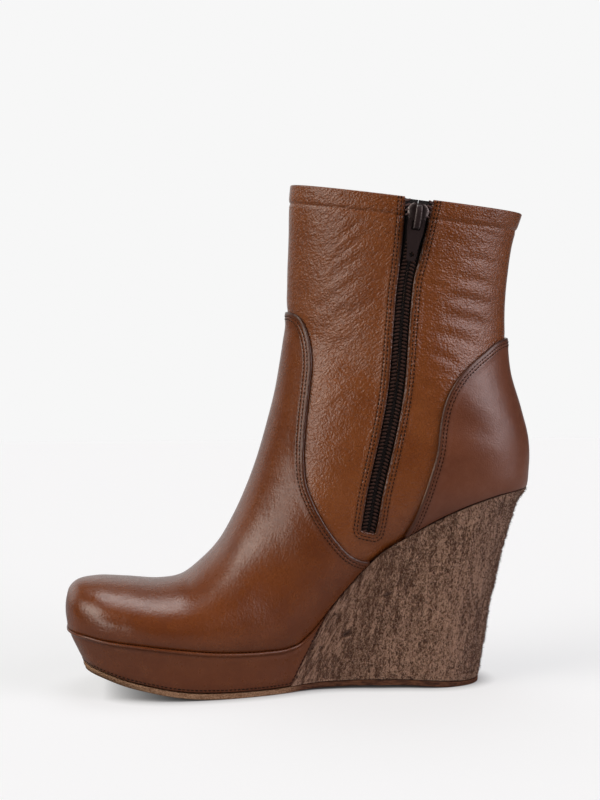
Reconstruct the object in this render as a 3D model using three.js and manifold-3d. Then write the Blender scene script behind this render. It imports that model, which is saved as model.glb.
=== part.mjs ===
// A wedge ankle boot for the right foot, with a zip up its inner side.
// Millimetres, +Z up. The toe points along -X, the inner side faces -Y and the sole stands on Z = 0.

import * as THREE from "three";
import { mergeVertices } from "three/addons/utils/BufferGeometryUtils.js";
import Module from "manifold-3d";

const wasm = await Module();
wasm.setup();

// Sizes of the last and of the sole under it
const BOOT_LENGTH = 232.3; // toe tip to the back of the heel
const BALL_HALF_WIDTH = 44;
const ANKLE_HALF_WIDTH = 32;
const PLATFORM_TOP = 21.8; // height of the seat line under the ball
const HEEL_SEAT = 98.1; // height of the seat line at the heel
const SHAFT_HEIGHT = 150; // heel seat to the front of the collar
const SEAT_SPRING = 10.3; // how far the seat line lifts at the toe
const TREAD_SPRING = 10.6; // how far the underside lifts at the toe
const TOE_RAKE = 7.6; // how far the sole's foot stands back from its top edge at the toe
const HEEL_RAKE = 24.6; // and at the heel
const SOLE_LIP = 1.1; // how far the sole's top edge stands out past the leather
const OUTSOLE_THICKNESS = 3;
const BORDER_FOOT = 0.464; // where the wedge's front edge meets the outsole, as a share of the length
const BORDER_LEAN = 0.52; // how far that edge leans back for each millimetre that it climbs

// Sizes of the leather and of the insole
const UPPER_WALL = 1.8;
const OVERLAY_THICKNESS = 1.2;
const GAP = 0.3; // clearance between neighbours
const INSOLE_THICKNESS = 3;

// Sizes of the zip
const ZIP_SLOT_HALF = 4.3; // half the slot between the two leather edges
const ZIP_MOUTH_HALF = 7.6; // the same at the collar
const ZIP_MOUTH_DEPTH = 45; // how far down from the collar the slot narrows
const TAPE_HALF = 9;
const TAPE_THICKNESS = 0.7;
const CHAIN_HALF = 3.3; // half of the closed chain of two coils
const CHAIN_PARTING = 0.5; // half of the line where the coils lock
const SLIDER_LENGTH = 14;
const SLIDER_HALF_WIDTH = 5.5;
const SLIDER_PLATE = 1.2;
const SLIDER_LIFT = 0.6; // under the plate, over the leather's face
const ZIP_COLLAR = 0.95; // the collar's height at the zip, as a share of SHAFT_HEIGHT
const SLIDER_DROP = 9.5; // middle of the slider below the collar's edge
const PIN_RADIUS = 0.65;
const PIN_HEIGHT = 1; // middle of the pin over the plate
const PIN_AT = -0.5; // and along the slider
const BRIDGE_HALF_WIDTH = 1.5;
const BRIDGE_THICKNESS = 1;
const BRIDGE_TOP = 5.9; // ends of the bridge, along the slider
const BRIDGE_FOOT = -4.6;
const PULL_LENGTH = 20; // pin to the tab's lower end
const PULL_HALF_WIDTH = 4.2;
const PULL_THICKNESS = 1.2;
const PULL_WINDOW = 5; // pin to the window's lower edge
const PULL_HOLE = 1.3; // radius

// The seat line, where leather meets sole, seen from the side.
// at: share of the length. pitch: share of the climb from ball to heel. spring: share of SEAT_SPRING.
const SEAT_LINE = [
  { at: -0.1, pitch: 0, spring: 1.04 },
  { at: 0, pitch: 0, spring: 1 },
  { at: 0.04, pitch: 0, spring: 0.903 },
  { at: 0.08, pitch: 0, spring: 0.738 },
  { at: 0.154, pitch: 0, spring: 0.544 },
  { at: 0.228, pitch: 0, spring: 0.33 },
  { at: 0.3, pitch: 0, spring: 0.126 },
  { at: 0.37, pitch: 0, spring: 0.02 },
  { at: 0.42, pitch: 0, spring: 0 },
  { at: 0.465, pitch: 0.008, spring: 0 },
  { at: 0.493, pitch: 0.038, spring: 0 },
  { at: 0.507, pitch: 0.075, spring: 0 },
  { at: 0.517, pitch: 0.102, spring: 0 },
  { at: 0.534, pitch: 0.16, spring: 0 },
  { at: 0.555, pitch: 0.24, spring: 0 },
  { at: 0.573, pitch: 0.308, spring: 0 },
  { at: 0.61, pitch: 0.435, spring: 0 },
  { at: 0.645, pitch: 0.549, spring: 0 },
  { at: 0.679, pitch: 0.636, spring: 0 },
  { at: 0.72, pitch: 0.706, spring: 0 },
  { at: 0.76, pitch: 0.775, spring: 0 },
  { at: 0.81, pitch: 0.853, spring: 0 },
  { at: 0.867, pitch: 0.923, spring: 0 },
  { at: 0.923, pitch: 0.969, spring: 0 },
  { at: 1, pitch: 1, spring: 0 },
  { at: 1.1, pitch: 1.03, spring: 0 },
];

// The underside of the sole, seen from the side: spring is a share of TREAD_SPRING.
const TREAD_LINE = [
  { at: -0.1, spring: 1.3 },
  { at: 0.03, spring: 1.2 },
  { at: 0.056, spring: 1.1 },
  { at: 0.084, spring: 0.93 },
  { at: 0.126, spring: 0.65 },
  { at: 0.174, spring: 0.42 },
  { at: 0.222, spring: 0.21 },
  { at: 0.263, spring: 0.085 },
  { at: 0.297, spring: 0.033 },
  { at: 0.34, spring: 0 },
  { at: 0.46, spring: 0 },
  { at: 0.52, spring: 0.066 },
  { at: 0.6, spring: 0.113 },
  { at: 0.72, spring: 0.113 },
  { at: 0.78, spring: 0.05 },
  { at: 0.81, spring: 0 },
  { at: 1.1, spring: 0 },
];

// Sections of the last, fanned from the toe, over the instep and up the shaft.
// back, low: the section's lower end, as a share of the length and of SHAFT_HEIGHT above the seat line.
// front, high, lift: its upper end, lift being the share of the heel's climb that carries it.
// ball, ankle: its half width, as shares of the two named half widths. sway: shift towards the outer side.
// wide: where along it the section is widest. crown, base: how square its upper and its lower end are.
const SECTIONS = [
  { back: 0.0055, low: 0.028, front: 0.0045, high: 0.147, lift: 0, ball: 0.2, ankle: 0, sway: -0.13, wide: 0.45, crown: 2.3, base: 2.4 },
  { back: 0.011, low: -0.019, front: 0.0095, high: 0.177, lift: 0, ball: 0.36, ankle: 0, sway: -0.13, wide: 0.42, crown: 2.3, base: 2.5 },
  { back: 0.027, low: -0.035, front: 0.0255, high: 0.2, lift: 0, ball: 0.56, ankle: 0, sway: -0.12, wide: 0.4, crown: 2.3, base: 2.7 },
  { back: 0.0585, low: -0.035, front: 0.0585, high: 0.208, lift: 0, ball: 0.74, ankle: 0, sway: -0.1, wide: 0.4, crown: 2.3, base: 2.9 },
  { back: 0.123, low: -0.035, front: 0.123, high: 0.202, lift: 0, ball: 0.89, ankle: 0, sway: -0.07, wide: 0.4, crown: 2.2, base: 3 },
  { back: 0.196, low: -0.035, front: 0.196, high: 0.192, lift: 0, ball: 0.98, ankle: 0, sway: -0.03, wide: 0.4, crown: 2.1, base: 3 },
  { back: 0.27, low: -0.035, front: 0.2451, high: 0.205, lift: 0, ball: 1, ankle: 0, sway: 0, wide: 0.4, crown: 2.05, base: 3 },
  { back: 0.343, low: -0.035, front: 0.2866, high: 0.253, lift: 0, ball: 0.98, ankle: 0, sway: 0.02, wide: 0.38, crown: 2, base: 3 },
  { back: 0.4135, low: -0.035, front: 0.3256, high: 0.317, lift: 0, ball: 0.93, ankle: 0, sway: 0.04, wide: 0.38, crown: 2, base: 3 },
  { back: 0.476, low: -0.035, front: 0.3587, high: 0.38, lift: 0.05, ball: 0.66, ankle: 0.28, sway: 0.06, wide: 0.38, crown: 1.95, base: 3 },
  { back: 0.528, low: -0.035, front: 0.3852, high: 0.419, lift: 0.15, ball: 0.44, ankle: 0.5, sway: 0.06, wide: 0.38, crown: 1.95, base: 3 },
  { back: 0.577, low: -0.035, front: 0.4095, high: 0.454, lift: 0.28, ball: 0.22, ankle: 0.76, sway: 0.05, wide: 0.38, crown: 1.95, base: 3 },
  { back: 0.635, low: -0.035, front: 0.4313, high: 0.498, lift: 0.42, ball: 0.08, ankle: 0.92, sway: 0.04, wide: 0.4, crown: 1.95, base: 3.2 },
  { back: 0.704, low: -0.035, front: 0.4493, high: 0.527, lift: 0.58, ball: 0, ankle: 1.02, sway: 0.02, wide: 0.42, crown: 2, base: 3.4 },
  { back: 0.786, low: -0.035, front: 0.4608, high: 0.544, lift: 0.74, ball: 0, ankle: 1.015, sway: 0.01, wide: 0.44, crown: 2, base: 3.8 },
  { back: 0.872, low: -0.035, front: 0.4682, high: 0.55, lift: 0.87, ball: 0, ankle: 1.01, sway: 0, wide: 0.45, crown: 2, base: 4.2 },
  { back: 0.9354, low: -0.03, front: 0.473, high: 0.552, lift: 0.96, ball: 0, ankle: 1.01, sway: 0, wide: 0.45, crown: 2, base: 3.4 },
  { back: 0.9788, low: -0.015, front: 0.4735, high: 0.563, lift: 1, ball: 0, ankle: 1.005, sway: 0, wide: 0.45, crown: 2, base: 2.6 },
  { back: 0.9923, low: 0.072, front: 0.4723, high: 0.595, lift: 1, ball: 0, ankle: 1.005, sway: 0, wide: 0.45, crown: 2, base: 2.3 },
  { back: 0.9918, low: 0.158, front: 0.4716, high: 0.625, lift: 1, ball: 0, ankle: 0.995, sway: 0, wide: 0.46, crown: 2, base: 2.2 },
  { back: 0.9748, low: 0.271, front: 0.4723, high: 0.668, lift: 1, ball: 0, ankle: 0.97, sway: 0, wide: 0.47, crown: 2, base: 2.1 },
  { back: 0.9523, low: 0.391, front: 0.4729, high: 0.721, lift: 1, ball: 0, ankle: 0.935, sway: 0, wide: 0.48, crown: 2.05, base: 2.1 },
  { back: 0.9445, low: 0.505, front: 0.4744, high: 0.778, lift: 1, ball: 0, ankle: 0.905, sway: 0, wide: 0.49, crown: 2.1, base: 2.1 },
  { back: 0.9435, low: 0.611, front: 0.4758, high: 0.838, lift: 1, ball: 0, ankle: 0.89, sway: 0, wide: 0.5, crown: 2.15, base: 2.15 },
  { back: 0.949, low: 0.718, front: 0.4763, high: 0.898, lift: 1, ball: 0, ankle: 0.875, sway: 0, wide: 0.5, crown: 2.2, base: 2.2 },
  { back: 0.96, low: 0.825, front: 0.4777, high: 0.955, lift: 1, ball: 0, ankle: 0.865, sway: 0, wide: 0.5, crown: 2.2, base: 2.2 },
  { back: 0.9777, low: 0.909, front: 0.4805, high: 0.998, lift: 1, ball: 0, ankle: 0.86, sway: 0, wide: 0.5, crown: 2.2, base: 2.2 },
];
const RING_POINTS = 32;
const TOE_ROUND = 0.06; // share of the length over which the toe's front turns into its sides

// The raised edge of the vamp, from the shin down to the seat line, and that of the counter.
// at: share of the length. lift: share of the heel's climb. high: share of SHAFT_HEIGHT above that.
const VAMP_EDGE = [
  { at: 0.3, lift: 1, high: 0.588 },
  { at: 0.467, lift: 1, high: 0.581 },
  { at: 0.478, lift: 1, high: 0.579 },
  { at: 0.4925, lift: 1, high: 0.564 },
  { at: 0.503, lift: 1, high: 0.535 },
  { at: 0.5115, lift: 1, high: 0.484 },
  { at: 0.514, lift: 1, high: 0.43 },
  { at: 0.508, lift: 1, high: 0.33 },
  { at: 0.499, lift: 0.95, high: 0.235 },
  { at: 0.4955, lift: 0.9, high: 0.16 },
  { at: 0.5005, lift: 0.8, high: 0.13 },
  { at: 0.515, lift: 0.7, high: 0.12 },
  { at: 0.538, lift: 0.6, high: 0.104 },
  { at: 0.564, lift: 0.55, high: 0.073 },
  { at: 0.594, lift: 0.53, high: 0.034 },
  { at: 0.62, lift: 0.53, high: 0.012 },
  { at: 0.645, lift: 0.53, high: 0 },
  { at: 0.67, lift: 0.53, high: -0.06 },
];
const COUNTER_EDGE = [
  { at: 1.2, lift: 1, high: 0.494 },
  { at: 0.95, lift: 1, high: 0.494 },
  { at: 0.924, lift: 1, high: 0.487 },
  { at: 0.886, lift: 1, high: 0.452 },
  { at: 0.855, lift: 1, high: 0.418 },
  { at: 0.83, lift: 1, high: 0.383 },
  { at: 0.81, lift: 1, high: 0.342 },
  { at: 0.795, lift: 1, high: 0.295 },
  { at: 0.786, lift: 1, high: 0.24 },
  { at: 0.776, lift: 1, high: 0.12 },
  { at: 0.763, lift: 0.9, high: 0.1 },
  { at: 0.748, lift: 0.8, high: 0.076 },
  { at: 0.731, lift: 0.74, high: 0.034 },
  { at: 0.715, lift: 0.695, high: 0 },
  { at: 0.7, lift: 0.66, high: -0.06 },
];

// The middle line of the zip, from the tape's lower end to the slot's, and up past the collar.
const ZIP_LINE = [
  { at: 0.622, lift: 0.6, high: 0.01 },
  { at: 0.632, lift: 0.7, high: 0.022 },
  { at: 0.645, lift: 0.75, high: 0.12 },
  { at: 0.67, lift: 0.9, high: 0.22 },
  { at: 0.687, lift: 1, high: 0.304 },
  { at: 0.702, lift: 1, high: 0.557 },
  { at: 0.711, lift: 1, high: 0.692 },
  { at: 0.722, lift: 1, high: 0.783 },
  { at: 0.74, lift: 1, high: 0.96 },
  { at: 0.749, lift: 1, high: 1.08 },
];

// How the sole's sides lean from top edge to foot. at: share of the length along the top edge.
// toe, heel: shares of the two rakes. taper: width at the foot as a share of the width at the top.
// lip: share of the lip at the top edge.
const SOLE_LEAN = [
  { at: 0, toe: 1, heel: 0, taper: 0.93, lip: 1 },
  { at: 0.1, toe: 0.62, heel: 0, taper: 0.95, lip: 1 },
  { at: 0.25, toe: 0.12, heel: 0, taper: 0.97, lip: 1 },
  { at: 0.45, toe: 0, heel: 0, taper: 0.96, lip: 1 },
  { at: 0.5, toe: 0, heel: 0.02, taper: 0.94, lip: 0.8 },
  { at: 0.6, toe: 0, heel: 0.16, taper: 0.9, lip: 0 },
  { at: 0.75, toe: 0, heel: 0.42, taper: 0.88, lip: 0 },
  { at: 1, toe: 0, heel: 1, taper: 0.88, lip: 0 },
];
const STATION_COUNT = 26;

// The same lean at each level of the sole. level: share of its height. toe, heel, taper: share of the lean undone.
const SOLE_LEVELS = [
  { level: 0, toe: 0, heel: 0, taper: 0, lip: 0 },
  { level: 0.33, toe: 0.36, heel: 0.2, taper: 0.33, lip: 0 },
  { level: 0.63, toe: 0.67, heel: 0.445, taper: 0.63, lip: 0 },
  { level: 0.885, toe: 0.9, heel: 0.74, taper: 0.885, lip: 0.5 },
  { level: 0.97, toe: 1, heel: 0.93, taper: 1, lip: 1 },
  { level: 1, toe: 1, heel: 1, taper: 1, lip: 0.4 },
];

// The value of one column of a table at a share of the length, straight between its rows.
function valueAt(table, at, column) {
  let next = table.findIndex((row) => row.at >= at);
  if (next < 0) next = table.length - 1;
  next = Math.max(next, 1);
  const [a, b] = [table[next - 1], table[next]];
  return THREE.MathUtils.lerp(a[column], b[column], (at - a.at) / (b.at - a.at));
}

const lengthwise = (share) => (share - 0.5) * BOOT_LENGTH;
const shareOf = (x) => x / BOOT_LENGTH + 0.5;
const climb = (lift) => PLATFORM_TOP + lift * (HEEL_SEAT - PLATFORM_TOP);
const seatHeight = (x) =>
  climb(valueAt(SEAT_LINE, shareOf(x), "pitch")) + valueAt(SEAT_LINE, shareOf(x), "spring") * SEAT_SPRING;
const treadHeight = (x) => valueAt(TREAD_LINE, shareOf(x), "spring") * TREAD_SPRING;

// A point of a seam or of the zip in the side view, as x and height.
const sidePoint = ({ at, lift, high }) => new THREE.Vector2(lengthwise(at), climb(lift) + high * SHAFT_HEIGHT);

// A closed solid for manifold-3d from a three.js geometry.
function solidOf(geometry) {
  const bare = geometry.clone();
  bare.deleteAttribute("normal");
  bare.deleteAttribute("uv");
  const merged = mergeVertices(bare, 1e-4);
  return new wasm.Manifold(
    new wasm.Mesh({
      numProp: 3,
      vertProperties: merged.getAttribute("position").array,
      triVerts: new Uint32Array(merged.index.array),
    }),
  );
}

function geometryOf(solid) {
  const mesh = solid.getMesh();
  const position = new THREE.BufferAttribute(new Float32Array(mesh.vertProperties), 3);
  const geometry = new THREE.BufferGeometry()
    .setAttribute("position", position)
    .setIndex(new THREE.BufferAttribute(new Uint32Array(mesh.triVerts), 1));
  geometry.computeVertexNormals();
  return geometry;
}

// A solid through a list of rings of points, closed at both ends. Rings turn anticlockwise seen from the last one.
function loft(rings) {
  const count = rings[0].length;
  const points = rings.flat();
  const middle = (ring) => ring.reduce((sum, p) => sum.add(p), new THREE.Vector3()).divideScalar(count);
  points.push(middle(rings[0]), middle(rings[rings.length - 1]));
  const index = [];
  for (let k = 0; k < rings.length - 1; k++) {
    for (let j = 0; j < count; j++) {
      const [a, b] = [k * count + j, k * count + ((j + 1) % count)];
      index.push(a, b, b + count, a, b + count, a + count);
    }
  }
  const last = (rings.length - 1) * count;
  for (let j = 0; j < count; j++) {
    const next = (j + 1) % count;
    index.push(points.length - 2, next, j);
    index.push(points.length - 1, last + j, last + next);
  }
  return solidOf(new THREE.BufferGeometry().setFromPoints(points).setIndex(index));
}

// A prism across the whole boot over an outline in the side view, from one y to another.
function acrossBoot(outline, fromY = -BOOT_LENGTH, toY = BOOT_LENGTH) {
  const geometry = new THREE.ExtrudeGeometry(new THREE.Shape(outline), { depth: toY - fromY, bevelEnabled: false });
  return solidOf(geometry.rotateX(Math.PI / 2).translate(0, toY, 0));
}

// One ring of the last, grown outwards by a distance.
function sectionRing(row, grow) {
  const toe = Math.max(0, 1 - row.back / TOE_ROUND);
  const heel = lengthwise(row.back);
  const lower = new THREE.Vector3(heel - grow * toe, 0, seatHeight(heel) + row.low * SHAFT_HEIGHT);
  const upper = new THREE.Vector3(lengthwise(row.front) - grow * toe, 0, climb(row.lift) + row.high * SHAFT_HEIGHT);
  const along = upper.clone().sub(lower);
  const reach = along.length();
  along.normalize();
  const half = row.ball * BALL_HALF_WIDTH + row.ankle * ANKLE_HALF_WIDTH + grow;
  const ring = [];
  for (let j = 0; j < RING_POINTS; j++) {
    const angle = (2 * Math.PI * j) / RING_POINTS;
    const [across, up] = [Math.cos(angle), Math.sin(angle)];
    const power = 2 / (up > 0 ? row.crown : row.base);
    const span = up > 0 ? (1 - row.wide) * reach + grow : row.wide * reach + grow;
    const rise = row.wide * reach + Math.sign(up) * Math.abs(up) ** power * span;
    const point = lower.clone().addScaledVector(along, rise);
    point.y = row.sway * BALL_HALF_WIDTH + Math.sign(across) * Math.abs(across) ** power * half;
    ring.push(point);
  }
  return ring;
}

// The last as a solid, grown by a distance, with its shaft carried on above the collar by extra.
function lastForm(grow, extra = 0) {
  const rings = SECTIONS.map((row) => sectionRing(row, grow));
  if (extra) {
    const [under, top] = rings.slice(-2);
    const rise = new THREE.Vector3(0, 0, extra);
    rings.push(top.map((p, j) => p.clone().add(p.clone().sub(under[j]).setLength(extra)).lerp(p.clone().add(rise), 0.5)));
  }
  return loft(rings);
}

// The space above or below the seat line, moved by a clearance.
function seatSide(above, clearance) {
  const line = SEAT_LINE.map((row) => {
    const x = lengthwise(row.at);
    return new THREE.Vector2(x, seatHeight(x) + clearance);
  });
  const far = above ? HEEL_SEAT + 2 * SHAFT_HEIGHT : -HEEL_SEAT;
  const ends = [new THREE.Vector2(lengthwise(1.1), far), new THREE.Vector2(lengthwise(-0.1), far)];
  return acrossBoot([...line, ...ends]);
}

const OVERLAY_OUT = GAP + OVERLAY_THICKNESS;

// The first point of a form on a line of sight.
const seen = (form, from, towards) => new THREE.Raycaster(from, towards).intersectObject(form)[0]?.point;

// The leather's outline along the seat line, as stations from toe to heel.
function featherStations() {
  const form = new THREE.Mesh(geometryOf(lastForm(OVERLAY_OUT)));
  const middle = SECTIONS[0].sway * BALL_HALF_WIDTH;
  const axis = new THREE.Vector3(1, 0, 0);
  const far = BOOT_LENGTH;
  const toe = seen(form, new THREE.Vector3(-far, middle, climb(0) + SEAT_SPRING), axis).x;
  const heel = seen(form, new THREE.Vector3(far, 0, HEEL_SEAT), axis.clone().negate()).x;
  const stations = [];
  for (let k = 0; k < STATION_COUNT; k++) {
    const along = (1 - Math.cos((Math.PI * (k + 0.5)) / STATION_COUNT)) / 2;
    const x = THREE.MathUtils.lerp(toe, heel, along);
    const inner = seen(form, new THREE.Vector3(x, -far, seatHeight(x)), new THREE.Vector3(0, 1, 0)).y;
    const outer = seen(form, new THREE.Vector3(x, far, seatHeight(x)), new THREE.Vector3(0, -1, 0)).y;
    stations.push({ x, middle: (inner + outer) / 2, half: (outer - inner) / 2 });
  }
  return stations;
}
const STATIONS = featherStations();

// One side point of the sole at a station and level. side is -1 on the inner side and 1 on the outer side.
function solePoint(station, row, side) {
  const at = THREE.MathUtils.clamp(shareOf(station.x), 0, 1);
  const lean = (column) => valueAt(SOLE_LEAN, at, column);
  const x = station.x + lean("toe") * TOE_RAKE * (1 - row.toe) - lean("heel") * HEEL_RAKE * (1 - row.heel);
  const taper = THREE.MathUtils.lerp(lean("taper"), 1, row.taper);
  const y = station.middle + side * (station.half * taper + row.lip * lean("lip") * SOLE_LIP);
  const foot = treadHeight(x) + OUTSOLE_THICKNESS;
  return new THREE.Vector3(x, y, THREE.MathUtils.lerp(foot, seatHeight(station.x) + GAP, row.level));
}

// Platform and wedge as one body under the seat line, before they are parted.
function soleBody() {
  const body = loft(
    STATIONS.map((station) => [
      ...SOLE_LEVELS.map((row) => solePoint(station, row, 1)),
      ...SOLE_LEVELS.toReversed().map((row) => solePoint(station, row, -1)),
    ]),
  );
  return body.intersect(seatSide(false, -GAP / 2));
}

// The space in front of or behind the wedge's front edge.
function borderSide(behind, clearance) {
  const foot = lengthwise(BORDER_FOOT) + clearance;
  const [low, high] = [-HEEL_SEAT, HEEL_SEAT];
  const far = behind ? BOOT_LENGTH : -BOOT_LENGTH;
  const edge = [new THREE.Vector2(foot + low * BORDER_LEAN, low), new THREE.Vector2(foot + high * BORDER_LEAN, high)];
  const ends = [new THREE.Vector2(far, high), new THREE.Vector2(far, low)];
  return acrossBoot(behind ? [...edge, ...ends] : [...edge, ...ends].reverse());
}

function platform() {
  return soleBody().intersect(borderSide(false, -GAP / 2));
}

function wedge() {
  return soleBody().intersect(borderSide(true, GAP / 2));
}

// The outsole runs the whole length under platform and wedge.
function outsole() {
  const foot = SOLE_LEVELS[0];
  const ring = (station) =>
    [1, -1].flatMap((side) => {
      const top = solePoint(station, foot, side);
      top.z -= GAP;
      const under = new THREE.Vector3(top.x, top.y, treadHeight(top.x));
      return side > 0 ? [under, top] : [top, under];
    });
  return loft(STATIONS.map(ring));
}

// A strip along the zip between two distances from its middle line, as an outline in the side view.
function zipStrip(fromHalf, toHalf, fromRow = 0, flare = 0) {
  const line = ZIP_LINE.map(sidePoint);
  const top = climb(1) + SHAFT_HEIGHT;
  const offset = (half) =>
    line.map((p, k) => {
      const [a, b] = [line[Math.max(k - 1, 0)], line[Math.min(k + 1, line.length - 1)]];
      const along = b.clone().sub(a).normalize();
      const wider = flare * Math.max(0, 1 - (top - p.y) / ZIP_MOUTH_DEPTH);
      const out = half + Math.sign(half) * wider;
      return new THREE.Vector2(p.x + along.y * out, p.y - along.x * out);
    });
  return [...offset(toHalf).slice(fromRow), ...offset(fromHalf).slice(fromRow).reverse()];
}
const innerHalf = (outline) => acrossBoot(outline, -BOOT_LENGTH, 0);

function upper() {
  const shell = lastForm(0).subtract(lastForm(-UPPER_WALL, SHAFT_HEIGHT / 5));
  const slot = zipStrip(-ZIP_SLOT_HALF, ZIP_SLOT_HALF, 1, ZIP_MOUTH_HALF - ZIP_SLOT_HALF);
  return shell.intersect(seatSide(true, GAP / 2)).subtract(innerHalf(slot));
}

// A leather piece laid over the upper inside an outline in the side view.
function overlay(outline) {
  const skin = lastForm(OVERLAY_OUT).subtract(lastForm(GAP));
  return skin.intersect(acrossBoot(outline)).intersect(seatSide(true, GAP / 2));
}

function vamp() {
  const edge = VAMP_EDGE.map(sidePoint);
  const [top, foot] = [edge[0].y, edge[edge.length - 1]];
  return overlay([
    ...edge.toReversed(),
    new THREE.Vector2(-BOOT_LENGTH, top),
    new THREE.Vector2(-BOOT_LENGTH, 0),
    new THREE.Vector2(foot.x, 0),
  ]);
}

function counter() {
  const edge = COUNTER_EDGE.map(sidePoint);
  const [top, foot] = [edge[0], edge[edge.length - 1]];
  return overlay([...edge, new THREE.Vector2(foot.x, 0), new THREE.Vector2(top.x, 0)]);
}

function insole() {
  const above = seatSide(true, GAP / 2);
  const under = seatSide(false, GAP / 2 + INSOLE_THICKNESS);
  return lastForm(-UPPER_WALL - GAP).intersect(above).intersect(under);
}

// One half of the zip's tape, behind the leather. side is -1 towards the toe and 1 towards the heel.
function zipTape(side) {
  const face = lastForm(-UPPER_WALL - GAP);
  const skin = face.subtract(lastForm(-UPPER_WALL - GAP - TAPE_THICKNESS, SHAFT_HEIGHT / 5));
  const halves = [side * (GAP / 2), side * TAPE_HALF].sort((a, b) => a - b);
  return skin.intersect(innerHalf(zipStrip(...halves))).intersect(seatSide(true, INSOLE_THICKNESS + 3 * GAP));
}

// One coil of the closed chain, in the slot, from its lower end up to the slider.
function zipCoil(side) {
  const skin = lastForm(0).subtract(lastForm(-UPPER_WALL, SHAFT_HEIGHT / 5));
  const halves = [side * CHAIN_PARTING, side * CHAIN_HALF].sort((a, b) => a - b);
  const { x, z } = SLIDER.foot;
  const [near, far] = [z - 2 * GAP, -BOOT_LENGTH];
  const below = [[far, far], [2 * x - far, far], [2 * x - far, near], [far, near]];
  const underSlider = acrossBoot(below.map(([px, pz]) => new THREE.Vector2(px, pz)));
  const lowerEnd = sidePoint(ZIP_LINE[1]).y + GAP;
  const inSlot = zipStrip(...halves, 1);
  return skin.intersect(innerHalf(inSlot)).intersect(underSlider).trimByPlane([0, 0, 1], lowerEnd);
}

// The slider's own frame: x across the zip towards the heel, y up the zip, z out of the leather.
function sliderFrame() {
  const form = new THREE.Mesh(geometryOf(lastForm(0, SHAFT_HEIGHT / 5)));
  const onSide = (p) => seen(form, new THREE.Vector3(p.x, -BOOT_LENGTH, p.y), new THREE.Vector3(0, 1, 0));
  const [under, over] = ZIP_LINE.map(sidePoint).slice(-3, -1);
  const along = over.clone().sub(under).normalize();
  const collar = climb(1) + SHAFT_HEIGHT * ZIP_COLLAR;
  const middle = under.clone().addScaledVector(along, (collar - SLIDER_DROP - under.y) / along.y);
  const foot = onSide(middle.clone().addScaledVector(along, -SLIDER_LENGTH / 2));
  const head = onSide(middle.clone().addScaledVector(along, SLIDER_LENGTH / 2));
  const up = head.clone().sub(foot).normalize();
  const across = new THREE.Vector3(1, 0, 0).addScaledVector(up, -up.x).normalize();
  const origin = head.clone().add(foot).divideScalar(2);
  return { foot, matrix: new THREE.Matrix4().makeBasis(across, up, across.clone().cross(up)).setPosition(origin) };
}
const SLIDER = sliderFrame();
const PLATE_TOP = SLIDER_LIFT + SLIDER_PLATE;

// A plate in the slider's frame, over the right half of its outline, from one level to another.
function plate(rightHalf, from, to, holes = []) {
  const right = rightHalf.map(([x, y]) => new THREE.Vector2(x, y));
  const left = right.toReversed().map((p) => new THREE.Vector2(-p.x, p.y));
  const shape = new THREE.Shape([...right, ...left]);
  shape.holes = holes;
  return solidOf(new THREE.ExtrudeGeometry(shape, { depth: to - from, bevelEnabled: false }).translate(0, 0, from));
}

// The slider: a shield-shaped plate, a bridge that holds the pull tab, and a post between the tapes.
function zipSlider() {
  const [half, reach] = [SLIDER_HALF_WIDTH, SLIDER_LENGTH / 2];
  const shield = [
    [0.8 * half, -reach],
    [0.9 * half, -0.9 * reach],
    [0.88 * half, -0.3 * reach],
    [half, 0.05 * reach],
    [half, 0.3 * reach],
    [0.78 * half, 0.7 * reach],
    [0.45 * half, reach],
  ];
  const body = plate(shield, SLIDER_LIFT, PLATE_TOP);
  const post = plate([[0.9, 0], [0.9, 0.7 * reach]], GAP - UPPER_WALL, PLATE_TOP - GAP);
  const under = PLATE_TOP + 2 * PIN_HEIGHT;
  const profile = [
    [BRIDGE_FOOT, SLIDER_LIFT],
    [BRIDGE_FOOT, under],
    [BRIDGE_FOOT + BRIDGE_THICKNESS, under + BRIDGE_THICKNESS],
    [BRIDGE_TOP - BRIDGE_THICKNESS, under + BRIDGE_THICKNESS],
    [BRIDGE_TOP, SLIDER_LIFT],
    [BRIDGE_TOP - 2 * BRIDGE_THICKNESS, SLIDER_LIFT],
    [BRIDGE_TOP - 2 * BRIDGE_THICKNESS, under],
    [BRIDGE_FOOT + BRIDGE_THICKNESS, under],
    [BRIDGE_FOOT + BRIDGE_THICKNESS, SLIDER_LIFT],
  ];
  const outline = new THREE.Shape(profile.map(([y, z]) => new THREE.Vector2(y, z)));
  const strip = new THREE.ExtrudeGeometry(outline, { depth: 2 * BRIDGE_HALF_WIDTH, bevelEnabled: false });
  const turn = new THREE.Matrix4().makeBasis(
    new THREE.Vector3(0, 1, 0),
    new THREE.Vector3(0, 0, 1),
    new THREE.Vector3(1, 0, 0),
  );
  const bridge = solidOf(strip.applyMatrix4(turn.setPosition(-BRIDGE_HALF_WIDTH, 0, 0)));
  return body.add(bridge).add(post).transform(SLIDER.matrix.elements);
}

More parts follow.
